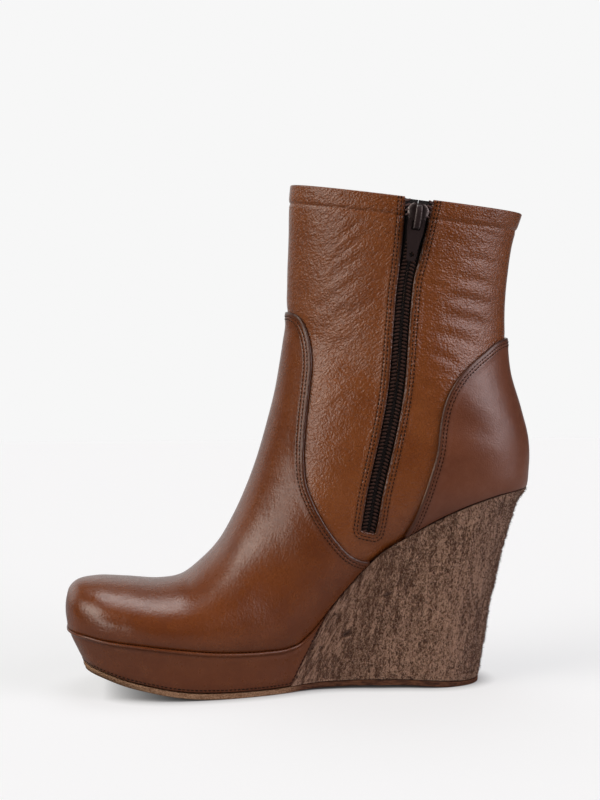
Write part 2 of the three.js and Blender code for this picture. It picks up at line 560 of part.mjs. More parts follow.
// The pull tab: two arms on a pin, and a tapered plate with a small hole near its end.
function zipPullTab() {
  const [half, length] = [PULL_HALF_WIDTH, PULL_LENGTH];
  const outline = [
    [0.3 * half, PIN_AT - length],
    [0.5 * half, PIN_AT - 0.96 * length],
    [0.56 * half, PIN_AT - 0.88 * length],
    [0.6 * half, PIN_AT - 0.72 * length],
    [0.95 * half, PIN_AT - 0.28 * length],
    [half, PIN_AT - 0.05 * length],
    [0.9 * half, PIN_AT + PIN_RADIUS],
  ];
  const middle = PLATE_TOP + PIN_HEIGHT;
  const [low, high] = [middle - PULL_THICKNESS / 2, middle + PULL_THICKNESS / 2];
  const hole = new THREE.Path().absarc(0, PIN_AT - 0.84 * length, PULL_HOLE, 0, 2 * Math.PI);
  hole.autoClose = true;
  const arms = plate(outline, low, high, [hole]);
  const inside = BRIDGE_HALF_WIDTH + 2 * GAP;
  const window = plate([[inside, PIN_AT - PULL_WINDOW], [inside, PIN_AT + 2]], low - 1, high + 1);
  const pinLength = 2 * inside + 1;
  const rod = new THREE.CylinderGeometry(PIN_RADIUS, PIN_RADIUS, pinLength, 16).rotateZ(Math.PI / 2);
  const pin = solidOf(rod.translate(0, PIN_AT, middle));
  return arms.subtract(window).add(pin).transform(SLIDER.matrix.elements);
}

const leather = (color) => new THREE.MeshStandardMaterial({ color, roughness: 0.45, metalness: 0 });
const roughSplit = () => new THREE.MeshStandardMaterial({ color: 0x6b5244, roughness: 0.95, metalness: 0 });
const composition = () => new THREE.MeshStandardMaterial({ color: 0x7a5a40, roughness: 0.9, metalness: 0 });
const liningLeather = () => new THREE.MeshStandardMaterial({ color: 0xb08a64, roughness: 0.7, metalness: 0 });
const wovenTape = () => new THREE.MeshStandardMaterial({ color: 0x17110f, roughness: 0.9, metalness: 0 });
const nylonCoil = () => new THREE.MeshStandardMaterial({ color: 0x33241f, roughness: 0.5, metalness: 0 });
const paintedMetal = () => new THREE.MeshStandardMaterial({ color: 0x2a1c19, roughness: 0.35, metalness: 0.6 });

const boot = new THREE.Group();
function addPiece(name, solid, material) {
  const mesh = new THREE.Mesh(geometryOf(solid), material);
  mesh.name = name;
  boot.add(mesh);
}
addPiece("outsole", outsole(), composition());
addPiece("platform", platform(), leather(0x6b3d24));
addPiece("wedge", wedge(), roughSplit());
addPiece("insole", insole(), liningLeather());
addPiece("upper", upper(), leather(0x7d4c30));
addPiece("vamp", vamp(), leather(0x6f4125));
addPiece("counter", counter(), leather(0x70493a));
addPiece("zip_tape_front", zipTape(-1), wovenTape());
addPiece("zip_tape_rear", zipTape(1), wovenTape());
addPiece("zip_coil_front", zipCoil(-1), nylonCoil());
addPiece("zip_coil_rear", zipCoil(1), nylonCoil());
addPiece("zip_slider", zipSlider(), paintedMetal());
addPiece("zip_pull_tab", zipPullTab(), paintedMetal());

export default boot;
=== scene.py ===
import math
import bpy
import numpy as np
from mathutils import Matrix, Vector, noise
from mathutils.bvhtree import BVHTree


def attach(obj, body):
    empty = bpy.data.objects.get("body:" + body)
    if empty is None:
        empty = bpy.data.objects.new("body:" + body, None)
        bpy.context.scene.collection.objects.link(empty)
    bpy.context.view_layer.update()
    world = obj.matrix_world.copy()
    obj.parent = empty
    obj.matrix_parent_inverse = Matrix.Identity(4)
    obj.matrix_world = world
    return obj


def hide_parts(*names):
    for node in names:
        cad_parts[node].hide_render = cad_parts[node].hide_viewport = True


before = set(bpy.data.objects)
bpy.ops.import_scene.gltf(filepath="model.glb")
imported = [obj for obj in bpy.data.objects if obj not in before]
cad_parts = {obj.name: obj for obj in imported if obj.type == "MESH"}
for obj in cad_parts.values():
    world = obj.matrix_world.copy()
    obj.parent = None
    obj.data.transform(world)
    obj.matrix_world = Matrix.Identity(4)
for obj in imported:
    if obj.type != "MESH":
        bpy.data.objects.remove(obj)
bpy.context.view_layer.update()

# Camera: low, square to the inner side and turned a little towards the toe, as the photo was taken.
# The boot fills most of the frame, and the lens is long, so its sides stay nearly parallel.
CAMERA_TURN = math.radians(-5)
CAMERA_DISTANCE = 0.9
CAMERA_HEIGHT = 0.2058
AIM_HEIGHT = 0.1418
FOCAL_PIXELS = 1800  # focal length in pixels of the photo
PHOTO_PIXELS = 800  # its longer side
SENSOR = 36.0

aim = Vector((0, 0, AIM_HEIGHT))
pitch = math.asin((CAMERA_HEIGHT - AIM_HEIGHT) / CAMERA_DISTANCE)
level = math.cos(pitch)
back = Vector((math.sin(CAMERA_TURN) * level, -math.cos(CAMERA_TURN) * level, math.sin(pitch)))
camera_data = bpy.data.cameras.new("camera")
camera_data.sensor_width = SENSOR
camera_data.lens = SENSOR * FOCAL_PIXELS / PHOTO_PIXELS
camera = bpy.data.objects.new("camera", camera_data)
camera.location = aim + CAMERA_DISTANCE * back
camera.rotation_euler = back.to_track_quat("Z", "Y").to_euler()
bpy.context.scene.collection.objects.link(camera)
bpy.context.scene.camera = camera
bpy.context.scene.view_settings.view_transform = "Standard"


# Studio: a white table in front of a white wall. Round soft boxes stand on the toe's side, high and low,
# and on the heel's side, and one hangs over the toe. The room in front is dark, so the leather stays deep.
TABLE_SIDE = 0.9
TABLE_FRONT = -0.30
TABLE_BACK = 1.3
WALL_WHITE = 0.93
TABLE_GREY = (0.337, 0.345, 0.358, 1)
TABLE_GLOW = 0.605  # seen by the camera alone
CONTACT_SHADE = 0.010  # how far round the sole the glow is shaded


# Inputs of a node, set to numbers or linked to sockets.
def set_inputs(tree, node, inputs):
    for key, value in inputs.items():
        socket = node.inputs[key]
        if isinstance(value, bpy.types.NodeSocket):
            tree.links.new(value, socket)
        else:
            socket.default_value = value


def add_node(tree, kind, inputs=None, **settings):
    node = tree.nodes.new(kind)
    for key, value in settings.items():
        setattr(node, key, value)
    set_inputs(tree, node, inputs or {})
    return node


def remap(tree, value, low, high, low_out=0.0, high_out=1.0):
    inputs = {"Value": value, "From Min": low, "From Max": high, "To Min": low_out, "To Max": high_out}
    return add_node(tree, "ShaderNodeMapRange", inputs).outputs["Result"]


def calculate(tree, operation, a, b):
    return add_node(tree, "ShaderNodeMath", {0: a, 1: b}, operation=operation).outputs["Value"]


table_mesh = bpy.data.meshes.new("table")
corners = [(-TABLE_SIDE, TABLE_FRONT, 0), (TABLE_SIDE, TABLE_FRONT, 0)]
corners += [(TABLE_SIDE, TABLE_BACK, 0), (-TABLE_SIDE, TABLE_BACK, 0)]
table_mesh.from_pydata(corners, [], [(0, 1, 2, 3)])
table = bpy.data.objects.new("table", table_mesh)
table_paint = bpy.data.materials.new("white table")
table_paint.use_nodes = True
table_tree = table_paint.node_tree
seen = add_node(table_tree, "ShaderNodeLightPath").outputs["Is Camera Ray"]
table_open = add_node(table_tree, "ShaderNodeAmbientOcclusion", {"Distance": CONTACT_SHADE}).outputs["AO"]
table_lit = calculate(table_tree, "MULTIPLY", table_open, TABLE_GLOW)
set_inputs(table_tree, table_tree.nodes["Principled BSDF"], {
    "Base Color": TABLE_GREY, "Roughness": 1.0, "Specular IOR Level": 0.0, "Emission Color": (1, 1, 1, 1),
    "Emission Strength": calculate(table_tree, "MULTIPLY", seen, table_lit),
})
table_mesh.materials.append(table_paint)
bpy.context.scene.collection.objects.link(table)


# Soft boxes: azimuth from straight in front towards the heel, elevation, radius and soft rim in degrees,
# strength and tint.
SOFT_BOXES = [
    (-69, 41, 17, 9, 4.8, (1.0, 0.94, 0.86)), (-52, 14, 12, 7, 3.0, (1.0, 0.94, 0.87)),
    (-36, 4, 8, 5, 3.6, (1.0, 0.94, 0.87)), (60, 28, 19, 8, 3.8, (1.0, 0.90, 0.93)),
    (70, 5, 15, 8, 1.5, (1.0, 0.93, 1.0)), (-140, 20, 16, 8, 0.75, (1.0, 0.99, 0.97)),
    (172, 67, 14, 6, 3.4, (1.0, 1.0, 1.0)), (-120, 84, 9, 8, 1.0, (1.0, 1.0, 1.0)),
]
ROOM_DARK = 0.05
WALL_BOUNCE = 0.62
room = bpy.data.worlds.new("room")
room.use_nodes = True
walls = room.node_tree
direction = add_node(walls, "ShaderNodeTexCoord").outputs["Generated"]
backwards = add_node(walls, "ShaderNodeSeparateXYZ", {0: direction}).outputs["Y"]
white_wall = remap(walls, backwards, 0.82, 0.97, ROOM_DARK, WALL_BOUNCE)
glow = [white_wall, white_wall, white_wall]
for azimuth, elevation, radius, rim, strength, tint in SOFT_BOXES:
    turn, lift = math.radians(azimuth), math.radians(elevation)
    towards = (math.sin(turn) * math.cos(lift), -math.cos(turn) * math.cos(lift), math.sin(lift))
    near = add_node(walls, "ShaderNodeVectorMath", {0: direction, 1: towards}, operation="DOT_PRODUCT")
    dim, full = math.cos(math.radians(radius + rim)), math.cos(math.radians(radius - rim))
    lit = remap(walls, near.outputs["Value"], dim, full, 0, strength)
    tinted = [calculate(walls, "MULTIPLY", lit, share) for share in tint]
    glow = [calculate(walls, "ADD", part, more) for part, more in zip(glow, tinted)]
total = add_node(walls, "ShaderNodeCombineXYZ", dict(zip("XYZ", glow)))
bounce = walls.nodes["Background"]
set_inputs(walls, bounce, {"Color": total.outputs["Vector"], "Strength": 1.0})
seen_wall = add_node(walls, "ShaderNodeBackground", {"Color": (1, 1, 1, 1), "Strength": WALL_WHITE})
seen = add_node(walls, "ShaderNodeLightPath").outputs["Is Camera Ray"]
choices = {"Fac": seen, 1: bounce.outputs["Background"], 2: seen_wall.outputs["Background"]}
choice = add_node(walls, "ShaderNodeMixShader", choices)
set_inputs(walls, walls.nodes["World Output"], {"Surface": choice.outputs["Shader"]})
bpy.context.scene.world = room


# Upper: the boot's body, cut from pebbled leather with a thin lining, closed over the last. It is
# folded in at the collar and along the zip, lasted under the insole, and creased where the ankle bends.
MM = 0.001
BOOT_LENGTH = 232.3
BALL_HALF_WIDTH = 44
ANKLE_HALF_WIDTH = 32
PLATFORM_TOP = 21.8
HEEL_SEAT = 98.1
SHAFT_HEIGHT = 150
SEAT_SPRING = 10.3
TOE_ROUND = 0.06
UPPER_WALL = 1.8
FAR = 40.0  # counts as out of an edge's reach

SECTION_COLUMNS = "back low front high lift ball ankle sway wide crown base".split()
SECTIONS = [
    (0.0055, 0.028, 0.0045, 0.147, 0, 0.2, 0, -0.13, 0.45, 2.3, 2.4),
    (0.011, -0.019, 0.0095, 0.177, 0, 0.36, 0, -0.13, 0.42, 2.3, 2.5),
    (0.027, -0.035, 0.0255, 0.2, 0, 0.56, 0, -0.12, 0.4, 2.3, 2.7),
    (0.0585, -0.035, 0.0585, 0.208, 0, 0.74, 0, -0.1, 0.4, 2.3, 2.9),
    (0.123, -0.035, 0.123, 0.202, 0, 0.89, 0, -0.07, 0.4, 2.2, 3),
    (0.196, -0.035, 0.196, 0.192, 0, 0.98, 0, -0.03, 0.4, 2.1, 3),
    (0.27, -0.035, 0.2451, 0.205, 0, 1, 0, 0, 0.4, 2.05, 3),
    (0.343, -0.035, 0.2866, 0.253, 0, 0.98, 0, 0.02, 0.38, 2, 3),
    (0.4135, -0.035, 0.3256, 0.317, 0, 0.93, 0, 0.04, 0.38, 2, 3),
    (0.476, -0.035, 0.3587, 0.38, 0.05, 0.66, 0.28, 0.06, 0.38, 1.95, 3),
    (0.528, -0.035, 0.3852, 0.419, 0.15, 0.44, 0.5, 0.06, 0.38, 1.95, 3),
    (0.577, -0.035, 0.4095, 0.454, 0.28, 0.22, 0.76, 0.05, 0.38, 1.95, 3),
    (0.635, -0.035, 0.4313, 0.498, 0.42, 0.08, 0.92, 0.04, 0.4, 1.95, 3.2),
    (0.704, -0.035, 0.4493, 0.527, 0.58, 0, 1.02, 0.02, 0.42, 2, 3.4),
    (0.786, -0.035, 0.4608, 0.544, 0.74, 0, 1.015, 0.01, 0.44, 2, 3.8),
    (0.872, -0.035, 0.4682, 0.55, 0.87, 0, 1.01, 0, 0.45, 2, 4.2),
    (0.9354, -0.03, 0.473, 0.552, 0.96, 0, 1.01, 0, 0.45, 2, 3.4),
    (0.9788, -0.015, 0.4735, 0.563, 1, 0, 1.005, 0, 0.45, 2, 2.6),
    (0.9923, 0.072, 0.4723, 0.595, 1, 0, 1.005, 0, 0.45, 2, 2.3),
    (0.9918, 0.158, 0.4716, 0.625, 1, 0, 0.995, 0, 0.46, 2, 2.2),
    (0.9748, 0.271, 0.4723, 0.668, 1, 0, 0.97, 0, 0.47, 2, 2.1),
    (0.9523, 0.391, 0.4729, 0.721, 1, 0, 0.935, 0, 0.48, 2.05, 2.1),
    (0.9445, 0.505, 0.4744, 0.778, 1, 0, 0.905, 0, 0.49, 2.1, 2.1),
    (0.9435, 0.611, 0.4758, 0.838, 1, 0, 0.89, 0, 0.5, 2.15, 2.15),
    (0.949, 0.718, 0.4763, 0.898, 1, 0, 0.875, 0, 0.5, 2.2, 2.2),
    (0.96, 0.825, 0.4777, 0.955, 1, 0, 0.865, 0, 0.5, 2.2, 2.2),
    (0.9777, 0.909, 0.4805, 0.998, 1, 0, 0.86, 0, 0.5, 2.2, 2.2),
]
LAST_ROW = len(SECTIONS) - 1

# The seat line, where leather meets sole: share of the length, of the climb and of the toe spring.
SEAT_LINE = np.array([
    (-0.1, 0, 1.04), (0, 0, 1), (0.04, 0, 0.903), (0.08, 0, 0.738), (0.154, 0, 0.544),
    (0.228, 0, 0.33), (0.3, 0, 0.126), (0.37, 0, 0.02), (0.42, 0, 0), (0.465, 0.008, 0),
    (0.493, 0.038, 0), (0.507, 0.075, 0), (0.517, 0.102, 0), (0.534, 0.16, 0), (0.555, 0.24, 0),
    (0.573, 0.308, 0), (0.61, 0.435, 0), (0.645, 0.549, 0), (0.679, 0.636, 0), (0.72, 0.706, 0),
    (0.76, 0.775, 0), (0.81, 0.853, 0), (0.867, 0.923, 0), (0.923, 0.969, 0), (1, 1, 0), (1.1, 1.03, 0),
])


# A smooth curve through the values of a table's column, at any place between its rows.
def smooth_through(knots, values, at):
    knots, values, at = np.asarray(knots, float), np.asarray(values, float), np.asarray(at, float)
    step = np.diff(knots)
    slope = np.diff(values) / step
    tangent = np.empty_like(values)
    tangent[1:-1] = (step[1:] * slope[:-1] + step[:-1] * slope[1:]) / (step[1:] + step[:-1])
    tangent[0], tangent[-1] = slope[0], slope[-1]
    at = np.clip(at, knots[0], knots[-1])
    k = np.clip(np.searchsorted(knots, at) - 1, 0, len(step) - 1)
    h = step[k]
    t = (at - knots[k]) / h
    start = (1 + 2 * t) * (1 - t) ** 2 * values[k] + t * (1 - t) ** 2 * h * tangent[k]
    return start + t * t * (3 - 2 * t) * values[k + 1] + t * t * (t - 1) * h * tangent[k + 1]


def lengthwise(share):
    return (share - 0.5) * BOOT_LENGTH


def climb(lift):
    return PLATFORM_TOP + lift * (HEEL_SEAT - PLATFORM_TOP)


def seat_height(x):
    at = np.asarray(x) / BOOT_LENGTH + 0.5
    spring = smooth_through(SEAT_LINE[:, 0], SEAT_LINE[:, 2], at) * SEAT_SPRING
    return climb(smooth_through(SEAT_LINE[:, 0], SEAT_LINE[:, 1], at)) + spring


section_table = dict(zip(SECTION_COLUMNS, np.array(SECTIONS, float).T))
row_reach = np.arange(LAST_ROW + 1.0)
TOE_CAP = 0.6  # how far the toe's front bulges past its first section


# Points of the last. row counts sections from the toe (0) to the collar, and -1 is the toe's very tip.
# angle turns round each section, from the outer side (0) over the front to the inner side.
def last_points(row, angle, grow=0.0):
    row, angle = np.broadcast_arrays(np.asarray(row, float), np.asarray(angle, float))
    shrink = np.clip(1 + row, 0, 1)[..., None]
    along_rows = np.interp(row, np.arange(LAST_ROW + 1), row_reach)
    value = {name: smooth_through(row_reach, column, along_rows) for name, column in section_table.items()}
    toe = np.clip(1 - value["back"] / TOE_ROUND, 0, None)
    back_x = lengthwise(value["back"])
    low = np.stack([back_x - grow * toe, seat_height(back_x) + value["low"] * SHAFT_HEIGHT], -1)
    front_x = lengthwise(value["front"]) - grow * toe
    high = np.stack([front_x, climb(value["lift"]) + value["high"] * SHAFT_HEIGHT], -1)
    along = high - low
    reach = np.linalg.norm(along, axis=-1)
    along /= reach[..., None]
    half = value["ball"] * BALL_HALF_WIDTH + value["ankle"] * ANKLE_HALF_WIDTH + grow
    across, up = np.cos(angle), np.sin(angle)
    power = 2 / np.where(up > 0, value["crown"], value["base"])
    span = np.where(up > 0, (1 - value["wide"]) * reach, value["wide"] * reach) + grow
    rise = value["wide"] * reach + np.sign(up) * np.abs(up) ** power * span
    side = low + along * rise[..., None]
    heart = low + along * (value["wide"] * reach)[..., None]
    sway = value["sway"] * BALL_HALF_WIDTH
    y = sway + np.sign(across) * np.abs(across) ** power * half
    ring = np.stack([side[..., 0], y, side[..., 1]], -1)
    centre = np.stack([heart[..., 0], sway, heart[..., 1]], -1)
    return centre + (ring - centre) * shrink - np.array([TOE_CAP, 0, 0]) * (1 - shrink**2)


rings = last_points(np.arange(LAST_ROW + 1.0)[:, None], np.linspace(0, 2 * np.pi, 16)[None])
row_reach = np.concatenate([[0], np.cumsum(np.linalg.norm(np.diff(rings, axis=0), axis=-1).mean(1) + 0.3)])


# Soft forms of a relief: a bell round zero, a fall that starts at zero, and a step down.
def bell(distance, width):
    return np.exp(-((distance / width) ** 2))


def fading(distance, width):
    return np.exp(-np.clip(distance, 0, None) / width)


def step_down(distance, width):
    return 1 / (1 + np.exp(distance / width))


def unit(vectors):
    return vectors / np.maximum(np.linalg.norm(vectors, axis=-1, keepdims=True), 1e-9)


# Unit normals of a grid of points, from its neighbours; closed says that the columns close into a ring.
def grid_normals(points, closed=True):
    around = np.roll(points, -1, 1) - np.roll(points, 1, 1) if closed else np.gradient(points, axis=1)
    return unit(np.cross(np.gradient(points, axis=0), around))


# The corners of a grid's faces, four point numbers to each.
def grid_quads(rows, columns, closed=True):
    index = np.arange(rows * columns).reshape(rows, columns)
    beside = np.roll(index, -1, 1) if closed else index[:, 1:]
    here = index if closed else index[:, :-1]
    return np.stack([here[:-1], beside[:-1], beside[1:], here[1:]], -1).reshape(-1, 4)


# Signed distance in the side view from points to a closed outline, positive inside it. Points farther
# than reach from the outline's box count as reach away.
def inside_distance(points, outline, reach=FAR):
    flat = points[..., [0, 2]].reshape(-1, 2)
    result = np.full(len(flat), -reach)
    near = ((flat > outline.min(0) - reach) & (flat < outline.max(0) + reach)).all(1)
    flat = flat[near]
    nearest = np.full(len(flat), 1e9)
    crossings = np.zeros(len(flat), int)
    for p, q in zip(outline, np.roll(outline, -1, 0)):
        edge = q - p
        t = np.clip(((flat - p) @ edge) / max(edge @ edge, 1e-12), 0, 1)
        nearest = np.minimum(nearest, ((flat - p - t[:, None] * edge) ** 2).sum(1))
        if p[1] != q[1]:
            spans = (p[1] > flat[:, 1]) != (q[1] > flat[:, 1])
            crossings += spans & (flat[:, 0] < p[0] + (flat[:, 1] - p[1]) / (q[1] - p[1]) * (q[0] - p[0]))
    nearest = np.sqrt(nearest)
    result[near] = np.where(crossings % 2 == 1, nearest, -nearest)
    return result.reshape(points.shape[:-1])


# The part of a grid where keep is positive, trimmed along keep = 0, as points, faces, the fields at the
# points, and the trimmed edges in the order of their faces. closed: the columns run round in a ring.
def trim_grid(points, keep, fields, closed=True):
    flat_keep = keep.reshape(-1)
    quads = grid_quads(*keep.shape, closed)
    inside = flat_keep[quads] > 0
    faces = quads[inside.all(1)].tolist()
    flat_points = list(points.reshape(-1, 3))
    count = len(flat_points)
    flat_fields = {name: list(np.asarray(field).reshape(count, -1)) for name, field in fields.items()}
    cut_at = {}
    cut_edges = []

    def cut(i, j):
        key = (min(i, j), max(i, j))
        if key not in cut_at:
            t = flat_keep[i] / (flat_keep[i] - flat_keep[j])
            cut_at[key] = len(flat_points)
            flat_points.append(flat_points[i] * (1 - t) + flat_points[j] * t)
            for field in flat_fields.values():
                field.append(field[i] * (1 - t) + field[j] * t)
        return cut_at[key]

    for quad in quads[inside.any(1) & ~inside.all(1)].tolist():
        corner = []
        leaves = enters = None
        for i, j in zip(quad, quad[1:] + quad[:1]):
            if flat_keep[i] > 0:
                corner.append(i)
            if (flat_keep[i] > 0) != (flat_keep[j] > 0):
                corner.append(cut(i, j))
                if flat_keep[i] > 0:
                    leaves = corner[-1]
                else:
                    enters = corner[-1]
        faces.append(corner)
        cut_edges.append((leaves, enters))
    used = np.unique(np.concatenate([np.array(face) for face in faces]))
    place = np.full(len(flat_points), -1)
    place[used] = np.arange(len(used))
    faces = [[int(place[i]) for i in face] for face in faces]
    cut_edges = [(int(place[i]), int(place[j])) for i, j in cut_edges if place[i] >= 0 and place[j] >= 0]
    kept_fields = {name: np.array([field[i] for i in used]) for name, field in flat_fields.items()}
    return np.array([flat_points[i] for i in used]), faces, kept_fields, cut_edges


# The trimmed edges on which a field is zero.
def edges_on(cut_edges, field):
    return [edge for edge in cut_edges if abs(field[edge[0], 0]) < 1e-3 and abs(field[edge[1], 0]) < 1e-3]


# The part of some directions that lies along the surface.
def along_surface(directions, normals):
    return unit(directions - normals * (directions * normals).sum(1, keepdims=True))


# Which way an outline's edge faces at some points, along the surface: away from the inside.
def edge_direction(points, normals, outline):
    step = 0.05
    east, north = np.array([step, 0, 0]), np.array([0, 0, step])
    out = np.zeros_like(points)
    out[:, 0] = inside_distance(points - east, outline) - inside_distance(points + east, outline)
    out[:, 2] = inside_distance(points - north, outline) - inside_distance(points + north, outline)
    return along_surface(out, normals)


# A rolled edge: rings of points that leave the trimmed edge outwards and sink into what lies below.
# steps holds (outwards, down) in millimetres; the edge field goes on below zero down the roll.
def roll_edge(points, faces, fields, cut_edges, normals, out, steps):
    ring = sorted({i for edge in cut_edges for i in edge})
    order = {i: k for k, i in enumerate(ring)}
    layers, field_layers = [points], {name: [field] for name, field in fields.items()}
    before = {i: i for i in ring}
    count = len(points)
    for depth, (outwards, down) in enumerate(steps):
        layers.append(points[ring] + outwards * out[ring] - down * normals[ring])
        for name, field in fields.items():
            values = field[ring].copy()
            if name == "edge":
                values[:] = -(depth + 1) / len(steps)
            field_layers[name].append(values)
        now = {i: count + order[i] for i in ring}
        faces += [[before[j], before[i], now[i], now[j]] for i, j in cut_edges]
        before = now
        count += len(ring)
    fields = {name: np.concatenate(field) for name, field in field_layers.items()}
    return np.concatenate(layers), faces, fields


# Lines on a grid where a field has one value, as lists of points with their normals.
def contour_lines(points, normals, field, level):
    value = (field - level).reshape(-1)
    quads = grid_quads(*field.shape)
    high = value[quads] > 0
    joined = {}
    for quad in quads[high.any(1) & ~high.all(1)].tolist():
        ends = []
        for i, j in zip(quad, quad[1:] + quad[:1]):
            if (value[i] > 0) != (value[j] > 0):
                ends.append((min(i, j), max(i, j)))
        if len(ends) == 2:
            joined.setdefault(ends[0], []).append(ends[1])
            joined.setdefault(ends[1], []).append(ends[0])
    flat_points, flat_normals = points.reshape(-1, 3), normals.reshape(-1, 3)
    lines, seen = [], set()
    for start in sorted(joined, key=lambda key: (len(joined[key]), key)):
        if start in seen:
            continue
        chain = [start]
        seen.add(start)
        while True:
            onward = [key for key in joined[chain[-1]] if key not in seen]
            if not onward:
                break
            chain.append(onward[0])
            seen.add(onward[0])
        if len(joined[start]) == 2 and len(chain) > 3:
            chain.append(start)
        i, j = np.array(chain).T
        t = (value[i] / (value[i] - value[j]))[:, None]
        on = flat_points[i] * (1 - t) + flat_points[j] * t
        up = flat_normals[i] * (1 - t) + flat_normals[j] * t
        lines.append((on, unit(up)))
    return lines


def face_normal(points, face):
    a, b, c = (points[face[k]] for k in (0, 1, 2))
    return np.cross(b - a, c - a)


# Puts a finished mesh into the scene as a piece of the boot.
def put_in(name, mesh):
    piece = bpy.data.objects.new(name, mesh)
    bpy.context.scene.collection.objects.link(piece)
    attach(piece, "boot")
    return piece


# A piece from points in millimetres, with its material and attributes. outward holds a direction at each
# point, for faces that have to be turned.
def add_piece(name, points, faces, material, nodes=(), fields=None, outward=None):
    if outward is not None:
        sample = [face for face in faces if max(face) < len(outward)]
        sample = sample[:: max(1, len(sample) // 400)]
        turned = 0
        for face in sample:
            turned += np.sign(face_normal(points, face) @ outward[face[0]])
        if turned < 0:
            faces = [face[::-1] for face in faces]
    mesh = bpy.data.meshes.new(name)
    mesh.from_pydata((np.asarray(points) * MM).tolist(), [], faces)
    mesh.materials.append(material)
    for field_name, values in (fields or {}).items():
        attribute = mesh.attributes.new(field_name, "FLOAT", "POINT")
        attribute.data.foreach_set("value", np.asarray(values, np.float32).reshape(-1))
    mesh.validate()
    mesh.shade_smooth()
    piece = put_in(name, mesh)
    if nodes:
        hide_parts(*nodes)
    return piece


def new_material(name):
    material = bpy.data.materials.new(name)
    material.use_nodes = True
    tree = material.node_tree
    place = add_node(tree, "ShaderNodeTexCoord").outputs["Object"]
    return material, tree, tree.nodes["Principled BSDF"], place


def field_of_mesh(tree, name):
    return add_node(tree, "ShaderNodeAttribute", attribute_name=name).outputs["Fac"]


def darker(color, share):
    return tuple(share * c for c in color)


# Sets the inputs that a node shows for its kind of data, and gives what comes out of it.
def set_shown(tree, node, inputs):
    for key, value in inputs.items():
        place = [k for k, socket in enumerate(node.inputs) if socket.name == key and socket.enabled][0]
        set_inputs(tree, node, {place: value})
    return [socket for socket in node.outputs if socket.enabled][0]


def blend_colors(tree, factor, a, b):
    a, b = (dye if isinstance(dye, bpy.types.NodeSocket) else (*dye, 1) for dye in (a, b))
    return set_shown(tree, add_node(tree, "ShaderNodeMix", data_type="RGBA"), {"Factor": factor, "A": a, "B": b})


# Noise in the object's own metres, stretched along a direction of the side view.
def stretched_noise(tree, place, size, stretch=1.0, lean=0.0, detail=3.0, roughness=0.6, bend=0.0):
    turned = add_node(tree, "ShaderNodeMapping", {"Vector": place, "Rotation": (0, math.radians(lean), 0)})
    scale = {"Vector": turned.outputs["Vector"], "Scale": (1 / (size * stretch), 1 / size, 1 / size)}
    sized = add_node(tree, "ShaderNodeMapping", scale)
    inputs = {"Vector": sized.outputs["Vector"], "Scale": 1.0, "Detail": detail, "Roughness": roughness,
              "Distortion": bend}
    return add_node(tree, "ShaderNodeTexNoise", inputs).outputs["Fac"]


def bump(tree, height, depth, below=None):
    inputs = {"Height": height, "Distance": depth, "Strength": 1.0}
    if below is not None:
        inputs["Normal"] = below
    return add_node(tree, "ShaderNodeBump", inputs).outputs["Normal"]
